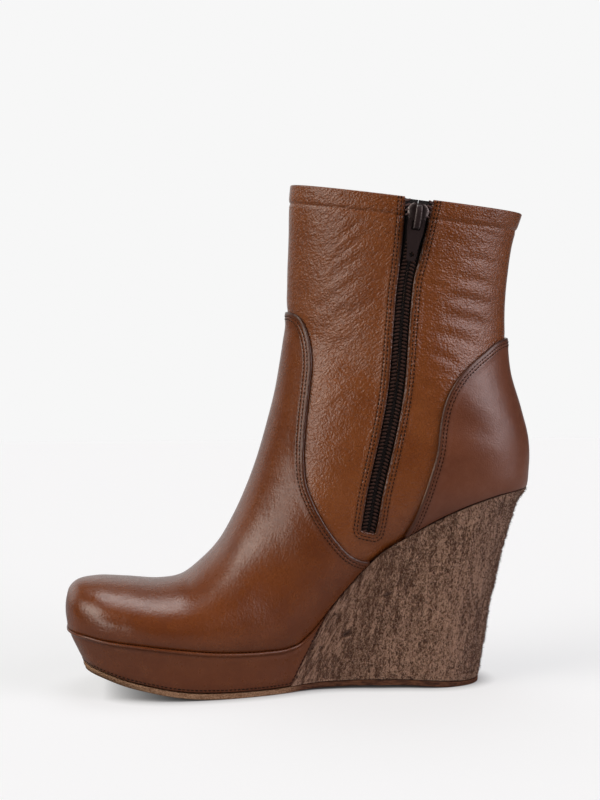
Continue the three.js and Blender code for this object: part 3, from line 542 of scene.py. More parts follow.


# Polished leather: patchy dye, a pebbled grain, wrinkles that run one way with painted shade in their valleys,
# seam rows pulled in along the field "seam" (millimetres from the folded edge) with painted shade in their
# grooves, and darker towards the field "edge": dark edge dye on the rolled edges, and painted shade where the
# leather meets or tucks under another part. raw, if given, lightens a band of the rolled edge: a raw cut edge
# with a painted highlight where it catches the light.
def leather(name, dye, deep, worn, grain, depth, gloss, coat, wrinkles=(), rows=None, raw=None):
    material, tree, shader, place = new_material(name)
    patches = stretched_noise(tree, place, 0.030, detail=4)
    mottle = stretched_noise(tree, place, 0.0045, detail=4)
    cells = {"Vector": place, "Scale": 1 / grain, "Randomness": 1.0, "Smoothness": 0.5}
    pebbles = add_node(tree, "ShaderNodeTexVoronoi", cells, feature="SMOOTH_F1").outputs["Distance"]
    lumps = stretched_noise(tree, place, grain * 1.5, detail=3, roughness=0.55, bend=0.4)
    pores = stretched_noise(tree, place, grain * 0.35, detail=2)
    color = blend_colors(tree, remap(tree, patches, 0.36, 0.64), deep, dye)
    color = blend_colors(tree, remap(tree, mottle, 0.48, 0.80, 0, 0.55), color, worn)
    color = blend_colors(tree, remap(tree, lumps, 0.52, 0.30, 0, 0.40), color, deep)
    # Darker towards the field edge: dark edge dye on the rolled edges, and painted shade where the leather meets
    # or tucks under another part.
    edge = field_of_mesh(tree, "edge")
    color = blend_colors(tree, remap(tree, edge, 0.0, 1.3, 0.85, 0.0), color, darker(deep, 0.30))
    if raw:
        # A band of the rolled edge between two heights takes the raw colour: a lighter raw cut edge, with a
        # painted highlight where it catches the light.
        up = add_node(tree, "ShaderNodeSeparateXYZ", {"Vector": place}).outputs["Z"]
        light_edge_and_glint = calculate(tree, "MULTIPLY", remap(tree, up, 0.090, 0.097), remap(tree, up, 0.120, 0.110))
        light_edge_and_glint = calculate(tree, "MULTIPLY", light_edge_and_glint, remap(tree, edge, -0.15, -0.5, 0, 0.8))
        color = blend_colors(tree, light_edge_and_glint, color, raw)
    normal = bump(tree, pores, depth * 0.15)
    normal = bump(tree, pebbles, -depth, normal)
    normal = bump(tree, lumps, depth * 1.2, normal)
    parts = add_node(tree, "ShaderNodeSeparateXYZ", {"Vector": place}).outputs
    for lean, start, end, low, size, amount in wrinkles:
        folds = stretched_noise(tree, place, size, stretch=3.6, lean=lean, detail=2.5, bend=0.35)
        share = remap(tree, parts["X"], start * MM, end * MM)
        higher = remap(tree, parts["Z"], low * MM, (low + 75) * MM, 0.2, 1.0)
        share = calculate(tree, "MULTIPLY", share, higher)
        normal = bump(tree, calculate(tree, "MULTIPLY", folds, share), amount, normal)
        # Darker in the wrinkles' valleys: painted shade.
        fold_shade = calculate(tree, "MULTIPLY", remap(tree, folds, 0.48, 0.30, 0, 0.5), share)
        color = blend_colors(tree, fold_shade, color, deep)
    normal = bump(tree, mottle, 0.00010 + depth, normal)
    if rows:
        seam = field_of_mesh(tree, "seam")
        profile = add_node(tree, "ShaderNodeValToRGB", {"Fac": remap(tree, seam, 0, 6)})
        profile.color_ramp.interpolation = "B_SPLINE"
        stops = [(0.0, 0.6)]
        for row in rows:
            stops += [((row - 0.55) / 6, 1.0), (row / 6, 0.0), ((row + 0.55) / 6, 0.95)]
        stops.append((1.0, 0.35))
        ramp = profile.color_ramp
        while len(ramp.elements) < len(stops):
            ramp.elements.new(0.5)
        for element, (position, level) in zip(ramp.elements, stops):
            element.position = position
        for element, (position, level) in zip(ramp.elements, stops):
            element.color = (level, level, level, 1)
        normal = bump(tree, profile.outputs["Color"], 0.00022, normal)
        # The rows' grooves are painted darker as shade, and the band along the edge is a little darker
        # throughout.
        shade = remap(tree, profile.outputs["Color"], 0.55, 0.1, 0.16, 0.55)
        near = remap(tree, seam, 4.6, 3.8, 0, 1)
        color = blend_colors(tree, calculate(tree, "MULTIPLY", shade, near), color, darker(deep, 0.4))
    set_inputs(tree, shader, {
        "Base Color": color, "Roughness": remap(tree, mottle, 0.3, 0.7, gloss + 0.06, gloss - 0.05),
        "Coat Weight": coat, "Coat Roughness": 0.65 * gloss, "Specular IOR Level": 0.45,
        "Normal": normal, "Coat Normal": normal,
    })
    return material


ZIP_ROWS = (1.7, 3.3)
LAID_ROWS = (1.5, 3.0)
# Wrinkles: lean in degrees, where along the boot they start and are full, from what height, size and depth.
SHAFT_WRINKLES = [
    (44, 52, 40, 115, 0.0009, 0.00038), (30, 52, 40, 115, 0.0017, 0.00044),
    (-8, 54, 66, 115, 0.0008, 0.00026), (4, 54, 66, 115, 0.0020, 0.00032),
]
TOE_WRINKLES = [(70, -62, -40, -90, 0.0007, 0.00014)]
shaft_leather = leather("shaft leather", (0.235, 0.069, 0.017), (0.182, 0.047, 0.009), (0.258, 0.086, 0.026),
                        0.0010, 0.00016, 0.24, 0.35, SHAFT_WRINKLES, ZIP_ROWS)
laid_leather = leather("smooth leather", (0.172, 0.046, 0.0105), (0.130, 0.031, 0.006), (0.195, 0.061, 0.018),
                       0.0009, 0.00006, 0.28, 0.27, TOE_WRINKLES, LAID_ROWS)
counter_leather = leather("counter leather", (0.185, 0.058, 0.025), (0.145, 0.041, 0.016),
                          (0.215, 0.080, 0.043), 0.0007, 0.00004, 0.36, 0.30, (), LAID_ROWS,
                          (0.30, 0.20, 0.14))
lining_leather = leather("lining leather", (0.60, 0.40, 0.24), (0.48, 0.30, 0.17), (0.68, 0.48, 0.31),
                         0.0009, 0.00006, 0.62, 0.0)

ZIP_SLOT_HALF = 4.3
ZIP_MOUTH_HALF = 7.6
ZIP_MOUTH_DEPTH = 45
ZIP_LINE = [
    (0.622, 0.6, 0.01), (0.632, 0.7, 0.022), (0.645, 0.75, 0.12), (0.67, 0.9, 0.22), (0.687, 1, 0.304),
    (0.702, 1, 0.557), (0.711, 1, 0.692), (0.722, 1, 0.783), (0.74, 1, 0.96), (0.749, 1, 1.08),
]
VAMP_EDGE = [
    (0.3, 1, 0.588), (0.467, 1, 0.581), (0.478, 1, 0.579), (0.4925, 1, 0.564), (0.503, 1, 0.535),
    (0.5115, 1, 0.484), (0.514, 1, 0.43), (0.508, 1, 0.33), (0.499, 0.95, 0.235), (0.4955, 0.9, 0.16),
    (0.5005, 0.8, 0.13), (0.515, 0.7, 0.12), (0.538, 0.6, 0.104), (0.564, 0.55, 0.073), (0.594, 0.53, 0.034),
    (0.62, 0.53, 0.012), (0.645, 0.53, 0), (0.67, 0.53, -0.06),
]
COUNTER_EDGE = [
    (1.2, 1, 0.494), (0.95, 1, 0.494), (0.924, 1, 0.487), (0.886, 1, 0.452), (0.855, 1, 0.418),
    (0.83, 1, 0.383), (0.81, 1, 0.342), (0.795, 1, 0.295), (0.786, 1, 0.24), (0.776, 1, 0.12),
    (0.763, 0.9, 0.1), (0.748, 0.8, 0.076), (0.731, 0.74, 0.034), (0.715, 0.695, 0), (0.7, 0.66, -0.06),
]


# Points of the side view from shares of length, climb and shaft, and a smooth line through such points.
def side_points(table):
    at, lift, high = np.array(table, float).T
    return np.stack([lengthwise(at), climb(lift) + high * SHAFT_HEIGHT], 1)


def smooth_line(points, count):
    along = np.concatenate([[0], np.cumsum(np.hypot(*np.diff(points, axis=0).T))])
    at = np.linspace(0, along[-1], count)
    return np.stack([smooth_through(along, points[:, 0], at), smooth_through(along, points[:, 1], at)], 1)


vamp_edge = smooth_line(side_points(VAMP_EDGE), 110)
vamp_outline = np.concatenate([vamp_edge, [(vamp_edge[-1, 0], -60), (-200, -60), (-200, vamp_edge[0, 1])]])
counter_edge = smooth_line(side_points(COUNTER_EDGE), 100)
counter_outline = np.concatenate([counter_edge, [(counter_edge[-1, 0], -60), (counter_edge[0, 0], -60)]])
zip_middle = smooth_line(side_points(ZIP_LINE), 70)
zip_along = unit(np.gradient(zip_middle, axis=0))
zip_across = np.stack([zip_along[:, 1], -zip_along[:, 0]], 1)
COLLAR_FRONT = HEEL_SEAT + SHAFT_HEIGHT
SLOT_FOOT = side_points(ZIP_LINE)[1][1]


# The outline of the zip's slot, wider at the collar, with a rounded lower end.
def slot_outline(grow=0.0):
    above = zip_middle[:, 1] > SLOT_FOOT - grow
    foot = np.array([[np.interp(SLOT_FOOT - grow, zip_middle[:, 1], zip_middle[:, 0]), SLOT_FOOT - grow]])
    middle = np.concatenate([foot + d * zip_along[:1] for d in (0, 0.25, 0.8)] + [zip_middle[above][2:]])
    across = np.concatenate([zip_across[:1]] * 3 + [zip_across[above][2:]])
    flare = np.clip(1 - (COLLAR_FRONT - middle[:, 1]) / ZIP_MOUTH_DEPTH, 0, None)
    half = ZIP_SLOT_HALF + grow + (ZIP_MOUTH_HALF - ZIP_SLOT_HALF) * flare
    half[:3] *= (0.78, 0.90, 0.98)
    return np.concatenate([middle + across * half[:, None], (middle - across * half[:, None])[::-1]])


# How far points of the inner side are from the slot; the outer side has no slot.
def slot_distance(points, grow=0.0):
    return np.where(points[..., 1] < 0, -inside_distance(points, slot_outline(grow)), FAR)


# Creases, in the side view: (from x, z), (to x, z), width, depth; they fade at both ends.
CREASES = [
    ((10, 206), (33, 226), 2.4, 0.30), ((8, 196), (30, 216), 2.4, 0.34), ((6, 186), (27, 203), 2.4, 0.30),
    ((14, 218), (32, 233), 2.0, 0.22), ((9, 176), (26, 190), 2.4, 0.26), ((12, 165), (24, 175), 2.0, 0.18),
    ((72, 203), (97, 197), 2.4, 0.34), ((68, 194), (98, 187), 2.6, 0.38), ((66, 185), (93, 178), 2.4, 0.34),
    ((62, 176), (86, 169), 2.4, 0.30), ((76, 213), (99, 208), 2.2, 0.26), ((60, 166), (76, 160), 2.2, 0.24),
    ((62, 222), (82, 217), 2.0, 0.18), ((12, 150), (26, 160), 2.6, 0.20), ((10, 136), (24, 147), 2.6, 0.20),
    ((10, 122), (24, 133), 2.4, 0.16), ((50, 152), (64, 147), 2.2, 0.20), ((46, 134), (60, 130), 2.2, 0.18),
    ((70, 230), (98, 222), 2.0, 0.26), ((20, 182), (34, 192), 2.0, 0.20), ((56, 200), (70, 197), 1.8, 0.20),
]


def crease_relief(points, creases):
    flat = points[..., [0, 2]]
    relief = np.zeros(points.shape[:-1])
    for start, end, width, depth in creases:
        a, b = np.array(start, float), np.array(end, float)
        edge = b - a
        t = np.clip(((flat - a) @ edge) / (edge @ edge), 0, 1)
        across = (flat - a) @ np.array([-edge[1], edge[0]]) / np.linalg.norm(edge)
        fade = np.sin(t * np.pi) ** 0.7
        q = (across - 1.2 * np.sin(t * np.pi)) / width
        relief += depth * fade * (-bell(q, 1) + 0.55 * bell(q - 1.7, 1) + 0.35 * bell(q + 1.8, 1))
    return relief


# A grid over the last between two sections, with about the given spacing, its outward normals and angles.
def last_grid(first, last, spacing, girth, grow=0.0):
    numbers = np.arange(-1, LAST_ROW + 1)
    reaches = np.concatenate([[-9.0], row_reach])
    low, high = np.interp((first, last), numbers, reaches)
    rows = np.interp(np.linspace(low, high, int((high - low) / spacing)), reaches, numbers)
    angles = 0.5 * np.pi + np.linspace(0, 2 * np.pi, int(girth / spacing), endpoint=False)
    grid = last_points(rows[:, None], angles[None, :], grow)
    normal = grid_normals(grid)
    quarters = np.arange(4)[None] * np.pi / 2
    middle = last_points(rows[:, None], quarters, grow).mean(1, keepdims=True)
    if ((grid - middle) * normal).sum() < 0:
        normal = -normal
    return grid, normal, angles


SHAFT_GIRTH = 215
GRAIN_SPACING = 0.7
HEM_DEPTH = 8.5
UNDERLAP = 5.0
HEEL_ROW = 9  # the first section behind the ball
FOLD = [(0.30, 0.12), (0.48, 0.45), (0.48, 1.0)]
grid, normal, angle_at = last_grid(HEEL_ROW, LAST_ROW, GRAIN_SPACING, SHAFT_GIRTH)
collar_edge = grid[-1]
below_collar = np.linalg.norm(grid - collar_edge[None], axis=-1)
slot = slot_distance(grid)
in_vamp = inside_distance(grid, vamp_outline)
in_counter = inside_distance(grid, counter_outline)
free = np.clip((below_collar - HEM_DEPTH) / 5, 0, 1) * np.clip((slot - 4) / 5, 0, 1)
relief = crease_relief(grid, CREASES) * free
hem = -0.40 * bell(below_collar - HEM_DEPTH, 0.9) + 0.30 * (1 - fading(HEM_DEPTH - below_collar, 1.5))
band = 0.30 * step_down(slot - 4.6, 0.5) - 0.3 * fading(slot, 0.5)
settle = -0.18 * bell(in_vamp + 1.2, 1.5) - 0.18 * bell(in_counter + 1.2, 1.5)
outer_face = grid + normal * (relief + hem + band + settle)[..., None]
above = grid[..., 2] - seat_height(grid[..., 0])
keep = np.minimum.reduce([slot, above + 1.0, UNDERLAP - in_vamp, UNDERLAP - in_counter])
# lap is how far the shaft lies outside the vamp and counter; through the field edge it darkens the shaft along
# and under their raised edges, a painted shade.
lap = np.minimum(np.maximum(-in_vamp, 0), np.maximum(-in_counter, 0))
fields = {"edge": np.minimum(np.minimum(lap, slot), below_collar + 1.0), "seam": slot, "n": normal}
shell, faces, fields, cut_edges = trim_grid(outer_face, keep, fields)
shell_normal = unit(fields.pop("n"))
slot_edges = edges_on(cut_edges, fields["seam"])
towards_slot = -edge_direction(shell, shell_normal, slot_outline())
turned_in = FOLD + [(0.30, UPPER_WALL)]
shell, faces, fields = roll_edge(shell, faces, fields, slot_edges, shell_normal, towards_slot, turned_in)
add_piece("upper", shell, faces, shaft_leather, ["upper"], fields, outward=shell_normal)


# Collar edge and lining: the leather is turned over at the top into a narrow round edge, and a thin
# undyed lining is glued to the inside of the whole upper.
COLLAR_RIM = 12
LINING_SPACING = 2.2
TOE_START = -0.96  # just behind the toe's very tip
lining_ring = last_points(LAST_ROW, angle_at, -UPPER_WALL)
rim = []
for k in range(COLLAR_RIM + 1):
    turn = math.pi * k / COLLAR_RIM
    share = (1 + math.cos(turn)) / 2
    rim.append(collar_edge * share + lining_ring * (1 - share) + np.array([0, 0, 0.8 * math.sin(turn)]))
rim = np.array(rim)
rim += (normal[-1] * 0.30)[None] * np.linspace(1, 0, COLLAR_RIM + 1)[:, None, None]
rim_fields = {"edge": np.full(rim.shape[:2], 1.0), "seam": np.full(rim.shape[:2], FAR)}
edge_points, faces, fields, _ = trim_grid(rim, slot_distance(rim), rim_fields)
add_piece("collar_edge", edge_points, faces, shaft_leather, fields=fields,
          outward=np.tile([0, 0, 1.0], (len(edge_points), 1)))

inner_face, inner_normal, _ = last_grid(TOE_START, LAST_ROW, LINING_SPACING, SHAFT_GIRTH, -UPPER_WALL)
above = inner_face[..., 2] - seat_height(inner_face[..., 0])
lining_keep = np.minimum(slot_distance(inner_face, 2.2), above - 0.3)
lining_fields = {"edge": np.full(inner_face.shape[:2], FAR), "n": inner_normal}
lining, faces, fields, _ = trim_grid(inner_face, lining_keep, lining_fields)
turned_in = -fields.pop("n")
add_piece("lining", lining, faces, lining_leather, fields=fields, outward=turned_in)


# Zip stitches: brown thread, sewn in two rows along each side of the zip's slot. One tree lays small
# stitches along a line of points, each turned to the leather; it serves the other rows and the coils too.
STITCH_PITCH = 2.0
STITCH_LENGTH = 1.4
SHORTEST_ROW = 8.0


# A tree with named inputs, and what those inputs give. finish_tree makes its instances real and dyes them.
def start_tree(name, inputs):
    tree = bpy.data.node_groups.new(name, "GeometryNodeTree")
    for label, kind in [("Geometry", "Geometry")] + inputs + [("Material", "Material")]:
        tree.interface.new_socket(label, in_out="INPUT", socket_type=f"NodeSocket{kind}")
    tree.interface.new_socket("Geometry", in_out="OUTPUT", socket_type="NodeSocketGeometry")
    return tree, tree.nodes.new("NodeGroupInput").outputs


def finish_tree(tree, placed, material):
    real = add_node(tree, "GeometryNodeRealizeInstances", {"Geometry": placed.outputs["Instances"]})
    dyeing = {"Geometry": real.outputs["Geometry"], "Material": material}
    dyed = add_node(tree, "GeometryNodeSetMaterial", dyeing)
    result = tree.nodes.new("NodeGroupOutput")
    tree.links.new(dyed.outputs["Geometry"], result.inputs["Geometry"])
    return tree


def row_tree(name):
    sizes = ("Pitch", "Length", "Width", "Height", "Lean")
    tree, given = start_tree(name, [(size, "Float") for size in sizes])
    curve = add_node(tree, "GeometryNodeMeshToCurve", {"Mesh": given["Geometry"]}).outputs["Curve"]
    spacing = {"Curve": curve, "Length": given["Pitch"]}
    spaced = add_node(tree, "GeometryNodeResampleCurve", spacing, mode="LENGTH")
    tangent = add_node(tree, "GeometryNodeInputTangent").outputs["Tangent"]
    forwards = add_node(tree, "FunctionNodeAlignRotationToVector", {"Vector": tangent}, axis="X")
    up = add_node(tree, "GeometryNodeInputNamedAttribute", {"Name": "up"}, data_type="FLOAT_VECTOR")
    towards = {"Rotation": forwards.outputs["Rotation"], "Vector": up.outputs["Attribute"]}
    upright = add_node(tree, "FunctionNodeAlignRotationToVector", towards, axis="Z", pivot_axis="X")
    leaned = add_node(tree, "FunctionNodeAxisAngleToRotation", {"Axis": (0, 0, 1), "Angle": given["Lean"]})
    turns = {"Rotation": upright.outputs["Rotation"], "Rotate By": leaned.outputs["Rotation"]}
    turn = add_node(tree, "FunctionNodeRotateRotation", turns, rotation_space="LOCAL")
    bead = add_node(tree, "GeometryNodeMeshUVSphere", {"Segments": 6, "Rings": 5, "Radius": 0.5})
    sizes = {"X": given["Width"], "Y": given["Height"], "Z": given["Length"]}
    size = add_node(tree, "ShaderNodeCombineXYZ", sizes).outputs["Vector"]
    upended = add_node(tree, "GeometryNodeTransform", {"Geometry": bead.outputs["Mesh"], "Scale": size})
    on_side = {"Geometry": upended.outputs["Geometry"], "Rotation": (math.radians(90), 0, math.radians(90))}
    laid = add_node(tree, "GeometryNodeTransform", on_side)
    placing = {"Points": spaced.outputs["Curve"], "Instance": laid.outputs["Geometry"],
               "Rotation": turn.outputs["Rotation"]}
    placed = add_node(tree, "GeometryNodeInstanceOnPoints", placing)
    return finish_tree(tree, placed, given["Material"])


# The plain mesh that a tree makes from a mesh, with the tree's inputs given by name.
def grown_mesh(name, mesh, tree, values):
    carrier = bpy.data.objects.new(name, mesh)
    bpy.context.scene.collection.objects.link(carrier)
    modifier = carrier.modifiers.new("made", "NODES")
    modifier.node_group = tree
    for item in tree.interface.items_tree:
        if item.in_out == "INPUT" and item.name in values:
            modifier[item.identifier] = values[item.name]
    depsgraph = bpy.context.evaluated_depsgraph_get()
    made = bpy.data.meshes.new_from_object(carrier.evaluated_get(depsgraph))
    carrier.modifiers.remove(modifier)
    bpy.data.objects.remove(carrier)
    made.name = name
    made.shade_smooth()
    return made


def lines_mesh(name, lines, lift=0.0):
    points, edges, ups = [], [], []
    for on, up in lines:
        first = len(points)
        points += list((on + up * lift) * MM)
        ups += list(up)
        edges += [(first + k, first + k + 1) for k in range(len(on) - 1)]
    mesh = bpy.data.meshes.new(name)
    mesh.from_pydata([tuple(p) for p in points], edges, [])
    attribute = mesh.attributes.new("up", "FLOAT_VECTOR", "POINT")
    attribute.data.foreach_set("vector", np.asarray(ups, np.float32).reshape(-1))
    return mesh


# Sizes in millimetres and the lean in degrees; lift raises the row off its line.
def rowed_piece(name, lines, material, pitch, length, width, height, lean=0.0, lift=0.0):
    values = {"Pitch": pitch * MM, "Length": length * MM, "Width": width * MM, "Height": height * MM,
              "Lean": math.radians(lean), "Material": material}
    return put_in(name, grown_mesh(name, lines_mesh(name, lines, lift), stitch_tree, values))


# Smooths each line's points, so that its stitches don't wobble from one face to the next.
def eased(lines):
    result = []
    for on, up in lines:
        if np.linalg.norm(np.diff(on, axis=0), axis=1).sum() < SHORTEST_ROW:
            continue
        for _ in range(6):
            on = np.concatenate([on[:1], (on[:-2] + 2 * on[1:-1] + on[2:]) / 4, on[-1:]])
        result.append((on, up))
    return result


def thread(name, color, roughness=0.7):
    material, tree, shader, place = new_material(name)
    twist = stretched_noise(tree, place, 0.0004, detail=2)
    color = blend_colors(tree, remap(tree, twist, 0.3, 0.7), darker(color, 0.55), color)
    set_inputs(tree, shader, {"Base Color": color, "Roughness": roughness, "Specular IOR Level": 0.10,
                              "Normal": bump(tree, twist, 0.0001)})
    return material


stitch_tree = row_tree("laid row")
brown_thread = thread("brown thread", (0.030, 0.011, 0.005))
shaft_lines = []
for distance in ZIP_ROWS:
    shaft_lines += contour_lines(outer_face, normal, slot, distance)
rowed_piece("zip_stitches", eased(shaft_lines), brown_thread, STITCH_PITCH, STITCH_LENGTH,
            0.52, 0.40, 0, 0.06)


# Vamp: smooth polished leather laid over the front of the upper, its edge folded and sewn with two rows.
# Counter: the same over the heel, cut to a raw edge. Both are lasted down to the sole.
GAP = 0.3
OVERLAY_THICKNESS = 1.2
LAID_OUT = GAP + OVERLAY_THICKNESS
FOOT_GIRTH = 250
PANEL_SPACING = 0.72
LASTED = [(0.1, 0.3), (0.1, 1.4)]
VAMP_CREASES = [
    ((-62, 58), (-44, 74), 3.5, 0.16), ((-52, 50), (-34, 68), 3.5, 0.16), ((-44, 44), (-24, 62), 3.5, 0.12),
    ((-22, 96), (-4, 104), 3.0, 0.10), ((-20, 110), (0, 120), 3.0, 0.10), ((-8, 76), (12, 88), 3.5, 0.10),
]
COUNTER_CREASES = [((60, 119), (103, 116), 8.0, -0.55), ((66, 136), (94, 121), 4.5, 0.16)]


# A panel laid over the last inside an outline, between two sections; gives its grid for the stitches.
def laid_panel(name, outline, first, last, girth, creases, material):
    grid, normal, _ = last_grid(first, last, PANEL_SPACING, girth, LAID_OUT)
    inside = inside_distance(grid, outline)
    above = grid[..., 2] - seat_height(grid[..., 0]) - 0.1
    relief = crease_relief(grid, creases) + 0.22 * step_down(inside - 4.4, 0.5)
    relief -= 0.25 * fading(inside, 0.4) + 0.35 * fading(above, 0.8)
    face = grid + normal * relief[..., None]
    # edge darkens the panel along its folded edge with edge dye, and along the seat with painted shade in the
    # crease at the platform.
    fields = {"edge": np.minimum(inside, above + 0.4), "seam": inside, "above": above, "n": normal}
    points, faces, fields, cut_edges = trim_grid(face, np.minimum(inside, above), fields)
    point_normal = unit(fields.pop("n"))
    along_edge = edges_on(cut_edges, fields["seam"])
    at_seat = edges_on(cut_edges, fields["above"])
    out = edge_direction(points, point_normal, outline)
    down = along_surface(np.array([[0, 0, -1.0]]), point_normal)
    folded = FOLD + [(0.30, LAID_OUT + 0.2)]
    points, faces, fields = roll_edge(points, faces, fields, along_edge, point_normal, out, folded)
    filler = np.zeros((len(points) - len(point_normal), 3))
    longer_normal = np.concatenate([point_normal, filler])
    longer_down = np.concatenate([down, filler])
    points, faces, fields = roll_edge(points, faces, fields, at_seat, longer_normal, longer_down, LASTED)
    del fields["above"]
    if first < 0:
        nearest = np.argsort(np.linalg.norm(points - grid[0].mean(0), axis=1))[: grid.shape[1]]
        faces.append([int(i) for i in sorted(nearest)])
    add_piece(name, points, faces, material, [name], fields, outward=longer_normal)
    return face, normal, np.where(above > 0.4, inside, -5.0)


vamp = laid_panel("vamp", vamp_outline, TOE_START, 18.6, FOOT_GIRTH, VAMP_CREASES, laid_leather)
counter = laid_panel("counter", counter_outline, 12, 22.5, SHAFT_GIRTH, COUNTER_CREASES, counter_leather)
for name, (face, normal, sewn) in (("vamp_stitches", vamp), ("counter_stitches", counter)):
    lines = []
    for distance in LAID_ROWS:
        lines += contour_lines(face, normal, sewn, distance)
    rowed_piece(name, eased(lines), brown_thread, STITCH_PITCH, STITCH_LENGTH,
                0.50, 0.40, 0, 0.05)


# Insole: a thin leather sock that lies on the inner board, glued down inside the upper. It keeps the
# frame's own solid.
def dress(name, material):
    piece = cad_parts[name]
    piece.data.materials.clear()
    piece.data.materials.append(material)
    return piece


dress("insole", lining_leather)


# Platform: a board under the forefoot, wrapped in leather that is rolled over its top into a lip and
# sewn with one dark row just over the outsole.
TREAD_SPRING = 10.6
TOE_RAKE = 7.6
HEEL_RAKE = 24.6
SOLE_LIP = 1.1
OUTSOLE_THICKNESS = 3.0
BORDER_FOOT = 0.464
BORDER_LEAN = 0.52
TREAD_LINE = np.array([
    (-0.1, 1.3), (0.03, 1.2), (0.056, 1.1), (0.084, 0.93), (0.126, 0.65), (0.174, 0.42), (0.222, 0.21),
    (0.263, 0.085), (0.297, 0.033), (0.34, 0), (0.46, 0), (0.52, 0.066), (0.6, 0.113), (0.72, 0.113),
    (0.78, 0.05), (0.81, 0), (1.1, 0),
])
LEAN_COLUMNS = "at toe heel taper lip".split()
SOLE_LEAN = dict(zip(LEAN_COLUMNS, np.array([
    (0, 1, 0, 0.93, 1), (0.1, 0.62, 0, 0.95, 1), (0.25, 0.12, 0, 0.97, 1), (0.45, 0, 0, 0.96, 1),
    (0.5, 0, 0.02, 0.94, 0.8), (0.6, 0, 0.16, 0.9, 0), (0.75, 0, 0.42, 0.88, 0), (1, 0, 1, 0.88, 0),
]).T))
SOLE_LEVELS = dict(zip("level toe heel taper lip".split(), np.array([
    (0, 0, 0, 0, 0), (0.33, 0.36, 0.2, 0.33, 0), (0.63, 0.67, 0.445, 0.63, 0),
    (0.885, 0.9, 0.74, 0.885, 0.5), (0.97, 1, 0.93, 1, 1), (1, 1, 1, 1, 0.4),
]).T))
SIDE_STATIONS = 240
OUTSIDE = 300  # rays start well away from the boot
UNDERCUT = ((5.0, 0.1), (1.2, 0.1), (0.35, 0.05))
LEDGE = ((0.6, -0.05), (2.0, -0.4), (6.0, -0.8))


def tread_height(x):
    return smooth_through(TREAD_LINE[:, 0], TREAD_LINE[:, 1], x / BOOT_LENGTH + 0.5) * TREAD_SPRING


def grid_tree(grid):
    return BVHTree.FromPolygons(grid.reshape(-1, 3).tolist(), grid_quads(*grid.shape[:2]).tolist())


laid_skin = grid_tree(last_grid(TOE_START, LAST_ROW, 1.5, FOOT_GIRTH, LAID_OUT)[0])
toe_y = SECTIONS[0][SECTION_COLUMNS.index("sway")] * BALL_HALF_WIDTH
toe_x = laid_skin.ray_cast(Vector((-OUTSIDE, toe_y, climb(0) + SEAT_SPRING)), Vector((1, 0, 0)))[0].x
heel_x = laid_skin.ray_cast(Vector((OUTSIDE, 0, HEEL_SEAT)), Vector((-1, 0, 0)))[0].x
station_turn = np.pi * (np.arange(SIDE_STATIONS) + 0.5) / SIDE_STATIONS
station_x = toe_x + (heel_x - toe_x) * (1 - np.cos(station_turn)) / 2
inner_y, outer_y = [], []
for x, z in zip(station_x, seat_height(station_x)):
    for found, side in ((inner_y, -1), (outer_y, 1)):
        met = laid_skin.ray_cast(Vector((x, side * OUTSIDE, z)), Vector((0, -side, 0)))[0]
        found.append(met.y if met else (toe_y if x < 0 else 0.0))
middle_y = (np.array(inner_y) + outer_y) / 2
half_y = (np.array(outer_y) - inner_y) / 2
ring_x = np.concatenate([station_x, station_x[::-1]])
ring_middle = np.concatenate([middle_y, middle_y[::-1]])
ring_offset = np.concatenate([half_y, -half_y[::-1]])
ring_reach = np.concatenate([[0], np.cumsum(np.hypot(np.diff(ring_x), np.diff(ring_middle + ring_offset)))])


# Points of the sole's side. ring counts millimetres round its top edge from the toe over the outer side,
# and row counts the levels of SOLE_LEVELS from the outsole up.
def sole_points(ring, row):
    x, middle, offset = (np.interp(ring, ring_reach, v)[None] for v in (ring_x, ring_middle, ring_offset))
    at = np.clip(x / BOOT_LENGTH + 0.5, 0, 1)
    lean = {name: smooth_through(SOLE_LEAN["at"], SOLE_LEAN[name], at) for name in LEAN_COLUMNS[1:]}
    numbers = np.arange(len(SOLE_LEVELS["level"]))
    level = {name: smooth_through(numbers, column, row)[:, None] for name, column in SOLE_LEVELS.items()}
    px = x + lean["toe"] * TOE_RAKE * (1 - level["toe"]) - lean["heel"] * HEEL_RAKE * (1 - level["heel"])
    taper = lean["taper"] + (1 - lean["taper"]) * level["taper"]
    y = middle + offset * taper + np.tanh(offset / 3) * level["lip"] * lean["lip"] * SOLE_LIP
    foot = tread_height(px) + OUTSOLE_THICKNESS
    z = foot + level["level"] * (seat_height(x) + GAP - foot)
    return np.stack([px, np.broadcast_to(y, px.shape), z], -1)


# The same points moved towards the middle of the sole by a distance, for ledges and undercuts.
def drawn_in(points, distance, rise=0.0):
    target = np.stack([np.clip(points[..., 0], toe_x + 35, heel_x - 30), np.zeros(points.shape[:-1])], -1)
    moved = points.copy()
    moved[..., :2] += unit(target - points[..., :2]) * distance
    moved[..., 2] += rise
    return moved


# The sole's side with its undercut and ledge, and how far each point is up from its foot and down from
# its top.
def side_grid(rings, rows):
    side = sole_points(rings, rows)
    wall = np.concatenate([[drawn_in(side[0], *move) for move in UNDERCUT], side,
                           [drawn_in(side[-1], *move) for move in LEDGE]])
    height_up = np.linalg.norm(wall - side[0], axis=-1)
    height_up[: len(UNDERCUT)] = 0
    drop = np.linalg.norm(wall - side[-1], axis=-1)
    drop[-len(LEDGE):] = 0
    return wall, height_up, drop


# Normals of the side, turned away from the sole's middle.
def side_normals(wall, closed=True):
    normals = grid_normals(wall, closed)
    middle = len(wall) // 2
    outwards = wall[middle, :, :2] - wall[middle, :, :2].mean(0)
    return normals if (normals[middle, :, :2] * outwards).sum() > 0 else -normals


def noise_field(points, sizes, seed=0.0):
    scaled = points.reshape(-1, 3) / np.array(sizes)
    return np.array([noise.noise(Vector((a + seed, b, c))) for a, b, c in scaled]).reshape(points.shape[:-1])


def border_x(z):
    return lengthwise(BORDER_FOOT) + BORDER_LEAN * z


